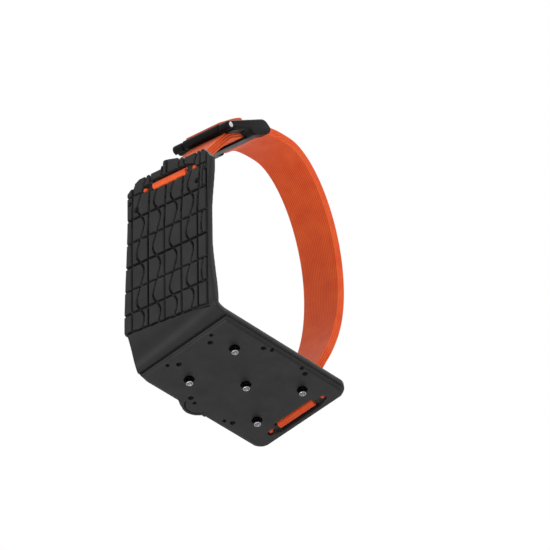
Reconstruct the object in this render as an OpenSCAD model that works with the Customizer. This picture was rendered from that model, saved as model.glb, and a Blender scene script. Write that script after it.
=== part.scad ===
// Mid-sole ice cleat: studded sole pad, treaded side flap, elastic straps and a cam buckle.
// All sizes in millimetres. X runs towards the toe, Y across the shoe, Z up.
// The origin is the middle of the face that the shoe's sole rests on.

/* [Sole pad] */
// length of the pad along the shoe, as far behind the stud pattern as before it
pad_l = 52; // [44:1:60]
// extra length of the pad on its heel side
heel_l = 2; // [0:0.5:4]
// half width of the pad on the flap side
pad_in = 40; // [37:0.5:42]
// half width of the pad on the strap side
pad_out = 40; // [38:0.5:43]
// thickness of the rubber layer
rubber_t = 3; // [2.6:0.1:4]
// thickness of the stud plate under the rubber
plate_t = 2; // [1.8:0.1:3]
// step between the rubber edge and the stud plate edge
plate_step = 0.8; // [0.4:0.1:1.5]
// width of the step that rims the stud plate
rim_w = 1.3; // [0.8:0.1:2]
// height of that step
rim_h = 0.7; // [0.4:0.1:1]
// corner radius at the strap end of the pad
pad_r = 6; // [4:0.5:8]
// radius of the finger lobe on the heel edge
lobe_r = 9; // [7:0.5:11]

/* [Studs] */
// distance of the front studs from the pad's toe edge
stud_edge = 12.4; // [11:0.2:14]
// stud spacing across the shoe
stud_dy = 43.6; // [40:0.2:46]
// diameter of the steel stud
stud_d = 3.4; // [3:0.1:4.6]
// diameter of the stud flange held between the layers
flange_d = 9; // [8:0.2:11]
// height of a stud below the stud plate
stud_h = 3; // [2.4:0.1:4]
// diameter of the carbide tip
tip_d = 2; // [1.6:0.1:2.2]

/* [Flap] */
// width of the flap
flap_w = 51; // [46:1:52]
// thickness of the flap
flap_t = 3.2; // [2.8:0.1:3.8]
// distance of the flap's inner face from the pad centre
flap_y = 45; // [44:0.5:48]
// height of the flap above the pad
flap_h = 82.5; // [74:0.5:92]
// lean of the flap and the straps towards the toe
lean = 12.4; // [8:0.2:14]
// lean of the flap away from the shoe
splay = 5.7; // [3:0.1:7]
// height where the bend ends and the flat flap starts
bend_h = 5; // [4:0.5:8]
// pitch of the tread rows
row_p = 11.66; // [10.5:0.02:12]
// pitch of the tread columns
col_p = 9.6; // [9:0.1:9.8]
// depth of the tread grooves
groove_d = 1.1; // [0.8:0.1:1.4]
// width of the straight grooves
groove_w = 1; // [0.8:0.1:1.3]
// width of the wavy grooves
wave_w = 0.8; // [0.6:0.1:1]
// side swing of the wavy grooves
wave_a = 2.4; // [1.6:0.1:2.8]

/* [Straps] */
// width of the elastic straps
strap_w = 21; // [18:0.5:22]
// thickness of one ply of elastic
ply_t = 0.95; // [0.7:0.05:1.05]
// air between two plies
ply_gap = 0.12; // [0.08:0.01:0.15]
// radius of the anchor bars inside the loops
bar_r = 1.2; // [1.1:0.05:1.4]
// radius of the beads on the ends of an anchor bar
bead_r = 1.9; // [1.7:0.1:2.1]
// distance of a bead from the middle of its bar
bead_x = 14.9; // [14.6:0.1:16]
// distance of the lower slot from the pad's outer edge
slot_edge = 7.4; // [7:0.1:9]
// distance of the upper slot from the flap's top edge
slot_drop = 6.9; // [6.6:0.1:8]
// free room in the upper slot above the loop
slot_rise = 1.2; // [0.6:0.1:1.4]

/* [Buckle] */
// slope of the buckle across the instep
buckle_a = 32; // [28:1:36]
// distance of the lever's pin from the centre plane
pin_y = 35.6; // [34:0.2:37]
// height of the lever's pin above the flap's top edge
pin_rise = 24.5; // [23.5:0.1:26]
// length of the buckle frame
frame_l = 31; // [30:0.5:34]
// thickness of each side cheek
cheek_t = 5.75; // [4:0.05:6]
// thickness of the frame's floor
floor_t = 1; // [0.8:0.1:1.4]
// radius of the steel pivot pin
pin_r = 1.3; // [1.2:0.05:1.5]
// running clearance of the lever on its pin
pin_clear = 0.05; // [0.03:0.01:0.08]
// outer radius of the lever's barrel
barrel_r = 2.5; // [2.4:0.05:2.8]
// height of the gripping ribs on the barrel
grip_h = 0.4; // [0.3:0.05:0.6]
// length of the lever from its pin
lever_l = 20; // [16:0.5:20.5]
// thickness of the lever's arm
lever_t = 1.7; // [1.5:0.1:2]
// thickness of the coloured lever cover
cover_t = 1.5; // [1:0.1:1.8]
// slope at which the strap comes up to the lever
rise_a = 54; // [50:1:58]
// height of the lever's pin over the strap in the frame
pin_over = 0.52; // [0.4:0.02:0.8]
// depth of the cheeks below the pin, at the mouth
mouth_d = 3.2; // [2.8:0.1:3.6]
// height of the cheeks above the pin
brow_h = 2.25; // [2:0.05:2.5]

/* [Hidden] */

$fn = 48;
eps = 0.01;
seat = 0.05;
fit = 0.1;
plate_z = -rubber_t - plate_t;
tip_z = plate_z - stud_h;
stud_dx = pad_l - 2 * stud_edge;
slot_y = pad_out - slot_edge;
slot_z = flap_h - slot_drop;
pin_z = flap_h + pin_rise;
studs = [[-stud_dx / 2, -stud_dy / 2], [stud_dx / 2, -stud_dy / 2], [0, 0],
    [-stud_dx / 2, stud_dy / 2], [stud_dx / 2, stud_dy / 2]];
lobe_x = -pad_l / 2 - heel_l + lobe_r - 3;
lobe_y = -6;
hole_edge = 4.2;
hole_side = 2.6;
hole_y = 1.4;
ring_r = stud_d / 2 + 0.7;
ring_d = 1.2;
flange_t = 0.9;

// loops of elastic: the inner one lies on its bar, the outer one on the inner one
loop_in = bar_r + fit + ply_t / 2;
loop_out = loop_in + ply_t + ply_gap;
half_in = (ply_t + ply_gap) / 2;
half_out = half_in + ply_t + ply_gap;
stack_t = 4 * ply_t + 3 * ply_gap;
slot_w = 2 * loop_out + ply_t + 1;
slot_l = strap_w + 0.8;
low_bar_z = plate_z + 1.6;
up_bar_y = -flap_y - flap_t / 2;
flare = 9;

// buckle heights, from the floor up
strap_mid = floor_t + fit + stack_t / 2;
pin_h = floor_t + fit + stack_t + pin_over;
pin_t = barrel_r + 0.4;
cheek_h = pin_h + brow_h;
bed_t = pin_t + 12.5;
inner_w = strap_w + 1.5;
lever_w = inner_w - 0.9;
frame_w = inner_w + 2 * cheek_t;
far_r = bar_r + 0.3;
far_t = frame_l - far_r - 1;
far_loop_in = far_r + fit + ply_t / 2;
far_loop_out = far_loop_in + ply_t + ply_gap;
far_h = floor_t + far_loop_out;
tail_t = pin_t + 16;
bed_l = far_t - far_loop_out - ply_t / 2 - 0.6 - bed_t - 1;
mouth = [-pin_y - pin_t * cos(buckle_a) + pin_h * sin(buckle_a),
    pin_z - pin_t * sin(buckle_a) - pin_h * cos(buckle_a)];

function clamp01(v) = min(1, max(0, v));
function soft(v) = let(c = clamp01(v)) c * c * (3 - 2 * c);
function mix(a, b, f) = a + (b - a) * f;
function unit(v) = v / norm(v);

// a point of the buckle, in its slope, to the leaning plane of the straps
function buckle_pt(t, h) = mouth + [t * cos(buckle_a) - h * sin(buckle_a),
    t * sin(buckle_a) + h * cos(buckle_a)];

// a point of the flap's middle plane, from a height along the flap
function flap_pt(z) = [up_bar_y - (z - bend_h) * sin(splay), bend_h + (z - bend_h) * cos(splay)];

// a cubic curve through four control points
function curve(a, b, c, d, n) = [for (i = [0 : n]) let(f = i / n)
    a * pow(1 - f, 3) + 3 * b * f * pow(1 - f, 2) + 3 * c * f * f * (1 - f) + d * pow(f, 3)];

// unit normals of a line of points
function normals(p) = [for (i = [0 : len(p) - 1])
    let(q = p[min(i + 1, len(p) - 1)] - p[max(i - 1, 0)], u = unit(q)) [-u[1], u[0]]];

// distance along a line of points
function run(p, i) = i == 0 ? 0 : run(p, i - 1) + norm(p[i] - p[i - 1]);

// half gap between the two sides of a loop, opening to the bar at a flared end
function gap_at(s, total, g, r0, r1) =
    max(r0 > 0 ? mix(r0, g, soft(s / flare)) : g, r1 > 0 ? mix(r1, g, soft((total - s) / flare)) : g);

// the round of a loop about its bar, from one side to the other
function turn(c, n, r, flip) = [for (k = [1 : 11]) let(a = k * 15, m = flip ? -1 : 1)
    c + r * m * (n * cos(a) + [n[1], -n[0]] * sin(a))];

// middle line of a loop of elastic laid along a line: round a bar at its start, and at its end too
function loop_line(p, g, r0, r1) =
    let(n = normals(p), total = run(p, len(p) - 1), last = len(p) - 1,
        w = [for (i = [0 : last]) gap_at(run(p, i), total, g, r0, r1)],
        side_a = [for (i = [0 : last]) p[i] + n[i] * w[i]],
        side_b = [for (i = [last : -1 : 0]) p[i] - n[i] * w[i]])
    r1 > 0 ? concat(side_a, turn(p[last], n[last], r1, false), side_b, turn(p[0], n[0], r0, true))
        : concat(side_b, turn(p[0], n[0], r0, true), side_a);

// how far the strap's width has turned from the pad to the leaning plane
function lean_at(z, twist) = twist ? lean * soft((z - 6) / 70) : lean;

// a point of a strap in space
function strap_pt(q, across, twist) = let(a = lean_at(q[1], twist))
    [q[1] * sin(lean) * (twist ? soft((q[1] - 3) / 26) : 1) + across * cos(a), q[0],
        q[1] * cos(lean) - across * sin(a)];

// middle line of the upper strap: in through the slot, up behind the flap's edge and under the lever
up_start = flap_pt(slot_z);
rise = [cos(rise_a), sin(rise_a)];
grip_at = [-pin_y, pin_z] + (barrel_r + grip_h + fit + stack_t / 2) * [sin(rise_a), -cos(rise_a)];
up_turn = grip_at - 14 * rise;
up_path = concat(
    curve(up_start, up_start + [7.5, 0.3], up_turn - 6 * rise, up_turn, 16),
    [for (i = [1 : 4]) mix(up_turn, grip_at, i / 4)],
    [for (q = curve(grip_at, grip_at + 4 * rise, buckle_pt(pin_t + 6.5, strap_mid),
        buckle_pt(pin_t + 10.5, strap_mid), 8)) if (q != grip_at) q],
    [for (i = [1 : 3]) buckle_pt(mix(pin_t + 10.5, tail_t, i / 3), strap_mid)]);

// middle line of the lower strap, from the buckle's far bar over the instep to the pad
low_start = buckle_pt(far_t, far_h);
low_end = [slot_y, low_bar_z];
crest = [9, pin_z + 17.5];
hip = [pad_out + 8, flap_h * 0.7];
low_path = concat(
    curve(low_start, buckle_pt(far_t + 8, far_h), crest - [9, 0], crest, 8),
    [for (q = curve(crest, crest + [17, 0], hip + [0, 36], hip, 18)) if (q != crest) q],
    [for (q = curve(hip, hip - [0, 27], low_end + [1, 24], low_end, 18)) if (q != hip) q]);

module leaning() {
    rotate([0, lean, 0]) children();
}

// the flap's own plane, leaning out from the top of the bend
module on_flap() {
    leaning() translate([0, up_bar_y, bend_h]) rotate([splay, 0, 0]) translate([0, -up_bar_y, -bend_h]) children();
}

module in_buckle() {
    leaning() translate([0, mouth[0], mouth[1]]) rotate([buckle_a, 0, 0]) children();
}

// a strip of elastic with a rectangular section, along a line in the leaning plane
module band(line, closed, twist) {
    n = len(line);
    tang = [for (i = [0 : n - 1])
        unit(closed ? line[(i + 1) % n] - line[(i + n - 1) % n]
            : line[min(i + 1, n - 1)] - line[max(i - 1, 0)])];
    pts = [for (i = [0 : n - 1]) let(q = line[i], m = [-tang[i][1], tang[i][0]] * ply_t / 2)
        each [strap_pt(q + m, strap_w / 2, twist), strap_pt(q + m, -strap_w / 2, twist),
            strap_pt(q - m, -strap_w / 2, twist), strap_pt(q - m, strap_w / 2, twist)]];
    walls = [for (i = [0 : (closed ? n - 1 : n - 2)], k = [0 : 3])
        let(j = (i + 1) % n, k2 = (k + 1) % 4)
        each [[4 * i + k, 4 * i + k2, 4 * j + k2], [4 * i + k, 4 * j + k2, 4 * j + k]]];
    ends = closed ? [] : [[0, 3, 2], [0, 2, 1],
        [4 * n - 4, 4 * n - 3, 4 * n - 2], [4 * n - 4, 4 * n - 2, 4 * n - 1]];
    polyhedron(points = pts, faces = concat(walls, ends), convexity = 8);
}

// outline of the pad, grown or shrunk by a margin
module pad_outline(m) {
    heel = -pad_l / 2 - heel_l;
    translate([heel - m, -pad_in - m]) square([pad_l + heel_l + 2 * m, pad_in + pad_out - pad_r + m]);
    translate([heel + pad_r, 0]) square([pad_l + heel_l - 2 * pad_r, pad_out + m]);
    for (x = [heel + pad_r, pad_l / 2 - pad_r]) translate([x, pad_out - pad_r]) circle(pad_r + m);
    translate([lobe_x, lobe_y]) circle(lobe_r + m);
}

// everything that is cut for the lower anchor bar and its strap
module lower_slot() {
    translate([0, slot_y, 0]) {
        translate([-slot_l / 2, -slot_w / 2, plate_z - 1]) cube([slot_l, slot_w, -plate_z + 2]);
        translate([0, 0, low_bar_z * cos(lean)]) rotate([0, 90, 0])
            cylinder(r = bar_r + seat, h = 2 * bead_x, center = true);
        for (s = [-1, 1]) translate([s * bead_x, 0, plate_z - 1])
            cylinder(r = bead_r + 0.3, h = low_bar_z - plate_z + bead_r + 1.3);
    }
}

// an anchor bar with a bead on each end
module anchor_bar() {
    rotate([0, 90, 0]) cylinder(r = bar_r, h = 2 * bead_x, center = true);
    for (s = [-1, 1]) translate([s * bead_x, 0, 0]) sphere(bead_r);
}

// small blind holes beside the stud field, in pairs of a larger and a smaller one
module hole_pair(x, y, dx, dy) {
    translate([x, y, plate_z - 1]) cylinder(d = 2.6, h = 2.2);
    translate([x + dx, y + dy, plate_z - 1]) cylinder(d = 2, h = 2.2);
}

module hole_pairs() {
    for (sx = [-1, 1], sy = [-1, 1])
        hole_pair(sx * (pad_l / 2 - hole_edge), hole_y + sy * 13.4, sx * (hole_edge - hole_side - 0.2), -sy * 3.8);
    for (sx = [-1, 1]) hole_pair(sx * 9.4, -pad_in + 7.4, sx * 3.7, -3.3);
}

// the bent sheet between the pad and the flap: a cubic bend whose radius grows towards the heel
bend_n = 10;
bend_m = 10;
bend_up = [cos(splay) * sin(lean), -sin(splay), cos(splay) * cos(lean)];
function bend_line(u) = let(
    a = [u - heel_l * (0.5 - u / flap_w), -pad_in, -rubber_t / 2],
    top = flap_pt(bend_h + 1),
    d = [u * cos(lean) + top[1] * sin(lean), top[0], top[1] * cos(lean) - u * sin(lean)],
    k = 0.56)
    concat([a + [0, 1, 0]], curve(a, a + [0, k * (d[1] + pad_in), 0],
        d - bend_up * k * (d[2] + rubber_t / 2), d, bend_m - 1));
bend_grid = [for (i = [0 : bend_n]) bend_line((flap_w - 0.12) * (i / bend_n - 0.5))];
function bend_normal(i, j) = let(
    p = bend_grid[i][max(j - 1, 0)],
    q = bend_grid[i][min(j + 1, bend_m)],
    r = j < 2 ? [0, -1, 0] : j == bend_m ? bend_up : q - p)
    unit(cross(r, [1, 0, -tan(lean) * j / bend_m]));
// how far the sheet's ends are sunk below the faces they run into
function bury(j) = j == 0 ? 0.15 : j == bend_m ? 0.08 : j == 1 || j == bend_m - 1 ? 0.05 : 0;
function bend_idx(side, i, j) = side * (bend_n + 1) * (bend_m + 1) + i * (bend_m + 1) + j;

module bend_sheet() {
    pts = [for (s = [0, 1], i = [0 : bend_n], j = [0 : bend_m])
        let(t = mix(rubber_t, flap_t, j / bend_m) / 2 - bury(j))
        bend_grid[i][j] + bend_normal(i, j) * (s == 0 ? t : -t)];
    sheet = [for (s = [0, 1], i = [0 : bend_n - 1], j = [0 : bend_m - 1])
        let(a = bend_idx(s, i, j), b = bend_idx(s, i + 1, j),
            c = bend_idx(s, i + 1, j + 1), d = bend_idx(s, i, j + 1))
        each (s == 0 ? [[a, b, c], [a, c, d]] : [[a, c, b], [a, d, c]])];
    sides = [for (e = [0, 1], j = [0 : bend_m - 1])
        let(i = e * bend_n, a = bend_idx(0, i, j), b = bend_idx(0, i, j + 1),
            c = bend_idx(1, i, j + 1), d = bend_idx(1, i, j))
        each (e == 0 ? [[a, b, c], [a, c, d]] : [[a, c, b], [a, d, c]])];
    ends = [for (e = [0, 1], i = [0 : bend_n - 1])
        let(j = e * bend_m, a = bend_idx(0, i, j), b = bend_idx(0, i + 1, j),
            c = bend_idx(1, i + 1, j), d = bend_idx(1, i, j))
        each (e == 0 ? [[a, c, b], [a, d, c]] : [[a, b, c], [a, c, d]])];
    polyhedron(points = pts, faces = concat(sheet, sides, ends), convexity = 4);
}

// the flat of the flap, with its cut corners and the small tab on its top edge
module flap_outline() {
    polygon([[-flap_w / 2, bend_h], [flap_w / 2, bend_h], [flap_w / 2, flap_h - 5.5], [flap_w / 2 - 4, flap_h - 0.6],
        [flap_w / 2 - 6, flap_h], [9.5, flap_h], [7.5, flap_h + 3.4], [-3.5, flap_h + 3.4], [-5.5, flap_h],
        [-flap_w / 2 + 8, flap_h], [-flap_w / 2 + 4.5, flap_h - 1.8], [-flap_w / 2, flap_h - 5.5]]);
}

// tread columns start at the heel edge; the last one is narrow
col_x = concat([for (i = [0 : 4]) -flap_w / 2 + 2.8 + i * col_p], [flap_w / 2 - 4]);
row_z = [for (i = [0 : 6]) slot_z - 0.6 - (6 - i) * row_p];

// a wavy groove from one row to the next, swinging to one side
module wave(x, z, swing) {
    line = [for (k = [0 : 8]) let(f = k / 8) [x + swing * sin(180 * f), z + row_p * f]];
    n = normals(line);
    polygon(concat([for (i = [0 : 8]) line[i] + n[i] * wave_w / 2],
        [for (i = [8 : -1 : 0]) line[i] - n[i] * wave_w / 2]));
}

module groove_pattern() {
    for (z = row_z) translate([-flap_w / 2 - 1, z - groove_w / 2]) square([flap_w - 3 + groove_w / 2, groove_w]);
    for (x = col_x) translate([x - groove_w / 2, row_z[0]]) square([groove_w, flap_h + 5 - row_z[0]]);
    for (c = [0 : 3], r = [0 : 5]) wave(mix(col_x[c], col_x[c + 1], 0.5), row_z[r], (r % 2 == 0 ? 1 : -1) * wave_a);
    for (r = [1, 3, 5]) wave(mix(col_x[4], col_x[5], 0.55), row_z[r], -wave_a / 2);
}

// the flap's plane stood up from a drawing of it, with a thickness outwards from a face
module stood_up(y, t) {
    translate([0, y, 0]) rotate([90, 0, 0]) linear_extrude(t) children();
}

module flap_sheet() {
    on_flap() difference() {
        stood_up(-flap_y, flap_t) flap_outline();
        stood_up(-flap_y - flap_t + groove_d, groove_d + 1) groove_pattern();
        stood_up(-flap_y + 1, flap_t + 2) translate([-slot_l / 2, slot_z - slot_w / 2]) square([slot_l, slot_w + slot_rise]);
        translate([0, up_bar_y, slot_z]) rotate([0, 90, 0])
            cylinder(r = bar_r + seat, h = 2 * bead_x, center = true);
        for (s = [-1, 1]) translate([s * bead_x, -flap_y + 1, slot_z]) rotate([90, 0, 0])
            cylinder(r = bead_r + 0.3, h = flap_t + 2);
        for (s = [-1, 1]) {
            translate([s * 17.5, -flap_y - flap_t + 1.4, slot_z - 7.6]) rotate([90, 0, 0]) cylinder(d = 2.4, h = 3);
            translate([s * 22.4, -flap_y - flap_t + 1.4, slot_z - 3.4]) rotate([90, 0, 0]) cylinder(d = 1.8, h = 3);
        }
    }
}

module rubber_body() {
    color([0.2, 0.2, 0.2]) {
        difference() {
            translate([0, 0, -rubber_t]) linear_extrude(rubber_t) pad_outline(0);
            lower_slot();
            for (p = studs) translate([p[0], p[1], -rubber_t - 1])
                cylinder(d = flange_d + 0.2, h = flange_t + 1 + fit);
        }
        bend_sheet();
        flap_sheet();
    }
}

module stud_plate() {
    color([0.24, 0.24, 0.24]) difference() {
        union() {
            translate([0, 0, plate_z + rim_h]) linear_extrude(plate_t - rim_h) pad_outline(-plate_step);
            translate([0, 0, plate_z]) linear_extrude(rim_h + eps) pad_outline(-plate_step - rim_w);
        }
        lower_slot();
        hole_pairs();
        for (p = studs) translate([p[0], p[1], plate_z - 1]) {
            cylinder(d = stud_d + 2 * seat, h = plate_t + 2);
            cylinder(r = ring_r + 0.4, h = 1 + ring_d);
        }
    }
}

// a steel stud: flange between the layers, round shank, tapered nose with a socket for the tip
module stud(p) {
    color([0.72, 0.72, 0.74]) translate([p[0], p[1], 0]) rotate_extrude()
        polygon([[0, -rubber_t + flange_t], [flange_d / 2, -rubber_t + flange_t], [flange_d / 2, -rubber_t],
            [stud_d / 2, -rubber_t], [stud_d / 2, plate_z - stud_h * 0.35], [tip_d / 2 + 0.5, tip_z + 0.5],
            [tip_d / 2, tip_z + 0.5], [tip_d / 2, plate_z], [0, plate_z]]);
}

module stud_tip(p) {
    color([0.55, 0.55, 0.58]) translate([p[0], p[1], 0]) rotate_extrude()
        polygon([[0, plate_z], [tip_d / 2, plate_z], [tip_d / 2, tip_z + 0.4], [tip_d / 2 - 0.4, tip_z],
            [0, tip_z]]);
}

module stud_1() { stud(studs[0]); }
module stud_2() { stud(studs[1]); }
module stud_3() { stud(studs[2]); }
module stud_4() { stud(studs[3]); }
module stud_5() { stud(studs[4]); }
module stud_tip_1() { stud_tip(studs[0]); }
module stud_tip_2() { stud_tip(studs[1]); }
module stud_tip_3() { stud_tip(studs[2]); }
module stud_tip_4() { stud_tip(studs[3]); }
module stud_tip_5() { stud_tip(studs[4]); }

module lower_anchor_bar() {
    color([0.9, 0.33, 0.15]) translate([0, slot_y, low_bar_z * cos(lean)]) anchor_bar();
}

module upper_anchor_bar() {
    color([0.9, 0.33, 0.15]) on_flap() translate([0, up_bar_y, slot_z]) anchor_bar();
}

module upper_strap_outer() {
    color([0.95, 0.4, 0.2]) band(loop_line(up_path, half_out, loop_out, 0), false, false);
}

module upper_strap_inner() {
    color([0.95, 0.4, 0.2]) band(loop_line(up_path, half_in, loop_in, 0), false, false);
}

module lower_strap_outer() {
    color([0.95, 0.4, 0.2]) band(loop_line(low_path, half_out, far_loop_out, loop_out), true, true);
}

module lower_strap_inner() {
    color([0.95, 0.4, 0.2]) band(loop_line(low_path, half_in, far_loop_in, loop_in), true, true);
}

// the side of a cheek, drawn along the strap
module cheek_side() {
    nose = [for (k = [0 : 6]) let(a = 110 + k * 22) [pin_t, pin_h] + (barrel_r - 0.1) * [cos(a), sin(a)]];
    polygon(concat(nose, [[pin_t + 1.2, pin_h - mouth_d], [bed_t, pin_h - mouth_d], [bed_t + 2, 0],
        [frame_l - 2, 0], [frame_l, 2], [frame_l - 2, cheek_h - 1], [frame_l - 4, cheek_h]]));
}

// a drawing along the strap, given a width across it
module across(x, w) {
    translate([x, 0, 0]) rotate([90, 0, 90]) linear_extrude(w) children();
}

module buckle_frame() {
    color([0.14, 0.14, 0.14]) in_buckle() difference() {
        union() {
            across(-frame_w / 2, cheek_t) cheek_side();
            across(inner_w / 2, cheek_t) cheek_side();
            translate([-frame_w / 2 + 1, bed_t + 1, 0]) cube([frame_w - 2, bed_l, floor_t]);
            translate([0, far_t, far_h]) rotate([0, 90, 0]) cylinder(r = far_r, h = inner_w + 2, center = true);
        }
        translate([0, pin_t, pin_h]) rotate([0, 90, 0]) cylinder(r = pin_r + seat, h = frame_w + 2, center = true);
    }
}

module pivot_pin() {
    color([0.75, 0.75, 0.77]) in_buckle() translate([0, pin_t, pin_h]) rotate([0, 90, 0])
        cylinder(r = pin_r, h = frame_w + 0.4, center = true);
}

// lever: barrel on the pin with gripping ribs below, and an arm lying over the strap
module buckle_lever() {
    color([0.13, 0.13, 0.13]) in_buckle() translate([0, pin_t, pin_h]) difference() {
        union() {
            rotate([0, 90, 0]) cylinder(r = barrel_r, h = lever_w, center = true);
            across(-lever_w / 2, lever_w)
                polygon([[0, barrel_r - lever_t], [lever_l - 1, barrel_r - lever_t - 0.8], [lever_l, barrel_r - lever_t],
                    [lever_l, barrel_r - 0.6], [lever_l - 1, barrel_r], [0, barrel_r]]);
            for (a = [3, 21, 39]) rotate([a, 0, 0]) across(-lever_w / 2 + 0.5, lever_w - 1)
                polygon([[-0.6, -barrel_r + 0.4], [0, -barrel_r - grip_h], [0.6, -barrel_r + 0.4]]);
        }
        rotate([0, 90, 0]) cylinder(r = pin_r + pin_clear, h = lever_w + 2, center = true);
    }
}

module lever_cover() {
    color([0.95, 0.38, 0.18]) in_buckle() translate([0, pin_t, pin_h])
        across(-lever_w / 2 + 0.6, lever_w - 1.2)
            polygon([[0.6, barrel_r], [lever_l - 1, barrel_r], [lever_l - 2, barrel_r + cover_t],
                [1.6, barrel_r + cover_t]]);
}

rubber_body();
stud_plate();
stud_1();
stud_2();
stud_3();
stud_4();
stud_5();
stud_tip_1();
stud_tip_2();
stud_tip_3();
stud_tip_4();
stud_tip_5();
lower_anchor_bar();
upper_anchor_bar();
upper_strap_outer();
upper_strap_inner();
lower_strap_outer();
lower_strap_inner();
buckle_frame();
pivot_pin();
buckle_lever();
lever_cover();
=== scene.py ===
# %% [markdown]
# # A mid-sole ice cleat, dressed for its portrait
# The CAD part gives every piece its place in metres. This lesson builds, around that frame, the surfaces
# that a mould, a loom and a lathe would leave: a rubber moulding with a tread, a studded plate, elastic
# straps and a cam-lever buckle. Each shape is a formula worked out on a grid with numpy.

# %% The frame
import math

import bpy
import numpy as np
from mathutils import Matrix, Vector


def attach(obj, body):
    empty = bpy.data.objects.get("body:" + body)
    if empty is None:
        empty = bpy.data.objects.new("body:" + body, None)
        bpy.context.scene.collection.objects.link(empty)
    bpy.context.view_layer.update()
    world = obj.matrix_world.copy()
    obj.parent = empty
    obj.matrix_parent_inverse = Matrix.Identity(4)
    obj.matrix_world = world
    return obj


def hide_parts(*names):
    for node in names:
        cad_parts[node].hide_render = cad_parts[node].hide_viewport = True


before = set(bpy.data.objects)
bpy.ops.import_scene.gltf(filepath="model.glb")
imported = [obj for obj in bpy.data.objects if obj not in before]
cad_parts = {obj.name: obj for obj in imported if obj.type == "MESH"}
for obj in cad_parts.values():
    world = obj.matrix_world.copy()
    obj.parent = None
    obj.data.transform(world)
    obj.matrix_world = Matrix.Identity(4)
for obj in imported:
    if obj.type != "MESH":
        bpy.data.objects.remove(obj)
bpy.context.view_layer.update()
scene = bpy.context.scene
MM = 0.001

# %% [markdown]
# ## The sizes that every step shares
# The straps, the flap and the buckle all lie in one plane that leans towards the toe. Two numbers per point
# (across the sole, and up) describe a strap in that plane, so a small function that tips the plane is all
# that is needed to put them in space. Sizes here are in millimetres, as on a drawing.

# %% Shared sizes and the leaning plane
LEAN, SPLAY, BUCKLE_SLOPE = math.radians(12.4), math.radians(5.7), math.radians(32)
# Pad: half width at the toe and at the heel, reach to the flap and away from it. Thickness of pad and plate.
PAD_HALF, PAD_HEEL, PAD_IN, PAD_OUT, PAD_T, PLATE_T = 26.0, 28.0, 40.0, 40.0, 3.0, 2.0
# Flap: half width, thickness, height of its top edge and of the bend's end, and its middle across the sole.
FLAP_HALF, FLAP_T, FLAP_TOP, BEND_H = 25.5, 3.2, 82.5, 5.0
FLAP_MID = -45.0 - FLAP_T / 2
# Elastic: width, thickness of a ply, gap between plies, play round a rod. Near an anchor bar a ply keeps
# PULLED of its thickness, and the upper strap loses DRAWN of its width.
STRAP_W, PLY, PLY_GAP, FIT, PULLED, DRAWN = 21.0, 0.95, 0.12, 0.1, 0.52, 0.07
# Anchor bars: radii of rod, neck and bead, places of the beads, and depth of the lower bar.
ROD_R, NECK_R, BEAD_R, BEAD_X = 0.65, 0.2, 1.3, 14.9
LOW_BEAD_X, LOW_BAR_Z = BEAD_X + 0.7, -PAD_T - PLATE_T + 1.6
# Slots: middle lines, half lengths and edges. The lower one is two grid steps longer at each end.
SLOT_H, SLOT_Y = FLAP_TOP - 6.9, PAD_OUT - 6.7
SLOT_X, SLOT_STEPS = STRAP_W / 2 * (1 - DRAWN) + 0.45, 41
LOW_SLOT_X = SLOT_X + 2 * (FLAP_HALF - SLOT_X) / SLOT_STEPS
SLOT_LOW, SLOT_TOP, LOW_HALF = SLOT_H - 2.1, SLOT_H + 3.05, 3.1
# Radii of the inner and outer loop's middle line round an anchor bar.
TURN_IN = ROD_R + FIT + PLY * PULLED / 2
TURN_OUT = TURN_IN + PLY * PULLED + 0.05


def tipped(x, y, z):
    """Turns points of the upright plane about the Y axis by the lean, so z leans towards the toe."""
    return np.stack(np.broadcast_arrays(x * math.cos(LEAN) + z * math.sin(LEAN), y,
                                        z * math.cos(LEAN) - x * math.sin(LEAN)), -1)


def smooth(low, high, v):
    """Rises from 0 at low to 1 at high along the cubic 3v2 - 2v3, flat at both ends."""
    t = np.clip((v - low) / (high - low), 0, 1)
    return t * t * (3 - 2 * t)


print("slot half width %.2f mm, loop radii %.2f and %.2f mm" % (SLOT_X, TURN_IN, TURN_OUT))

# %% [markdown]
# ## The camera
# The cleat is seen from below the sole, past the heel. A long lens, far away, keeps the pad's edges almost
# parallel as a product photograph does. The camera's axes are built from its azimuth, elevation and roll.

# %% Camera
PICTURE_PX, FOCAL_PX, SENSOR_MM, CAMERA_AWAY = 550, 4499.206, 36, 2.0
azimuth, elevation, roll = (math.radians(a) for a in (37.279, -40.717, -8.336))
aim = Vector((0.016966, 0.009993, 0.053079))
back = Vector((math.sin(azimuth) * math.cos(elevation), -math.cos(azimuth) * math.cos(elevation),
               math.sin(elevation)))
level = Vector((0, 0, 1)).cross(back).normalized()
upright = back.cross(level)
right = level * math.cos(roll) + upright * math.sin(roll)
up = upright * math.cos(roll) - level * math.sin(roll)
camera_data = bpy.data.cameras.new("portrait_camera")
camera_data.sensor_fit = "HORIZONTAL"
camera_data.sensor_width = SENSOR_MM
camera_data.lens = SENSOR_MM * FOCAL_PX / PICTURE_PX
camera_data.clip_start, camera_data.clip_end = 0.05, 20
camera = bpy.data.objects.new("portrait_camera", camera_data)
scene.collection.objects.link(camera)
turn_to = Matrix((right, up, back)).transposed().to_4x4()
camera.matrix_world = Matrix.Translation(aim + back * CAMERA_AWAY) @ turn_to
scene.camera = camera
print("camera at", [round(v, 3) for v in camera.matrix_world.translation], "lens", round(camera_data.lens, 1))

# %% [markdown]
# ## How a mesh is made from arrays
# Blender stores a mesh as flat lists of coordinates, corners and face starts. Filling them with foreach_set
# from whole arrays is fast even for a hundred thousand faces, and it needs no loop over vertices.

# %% Mesh from arrays


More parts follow.
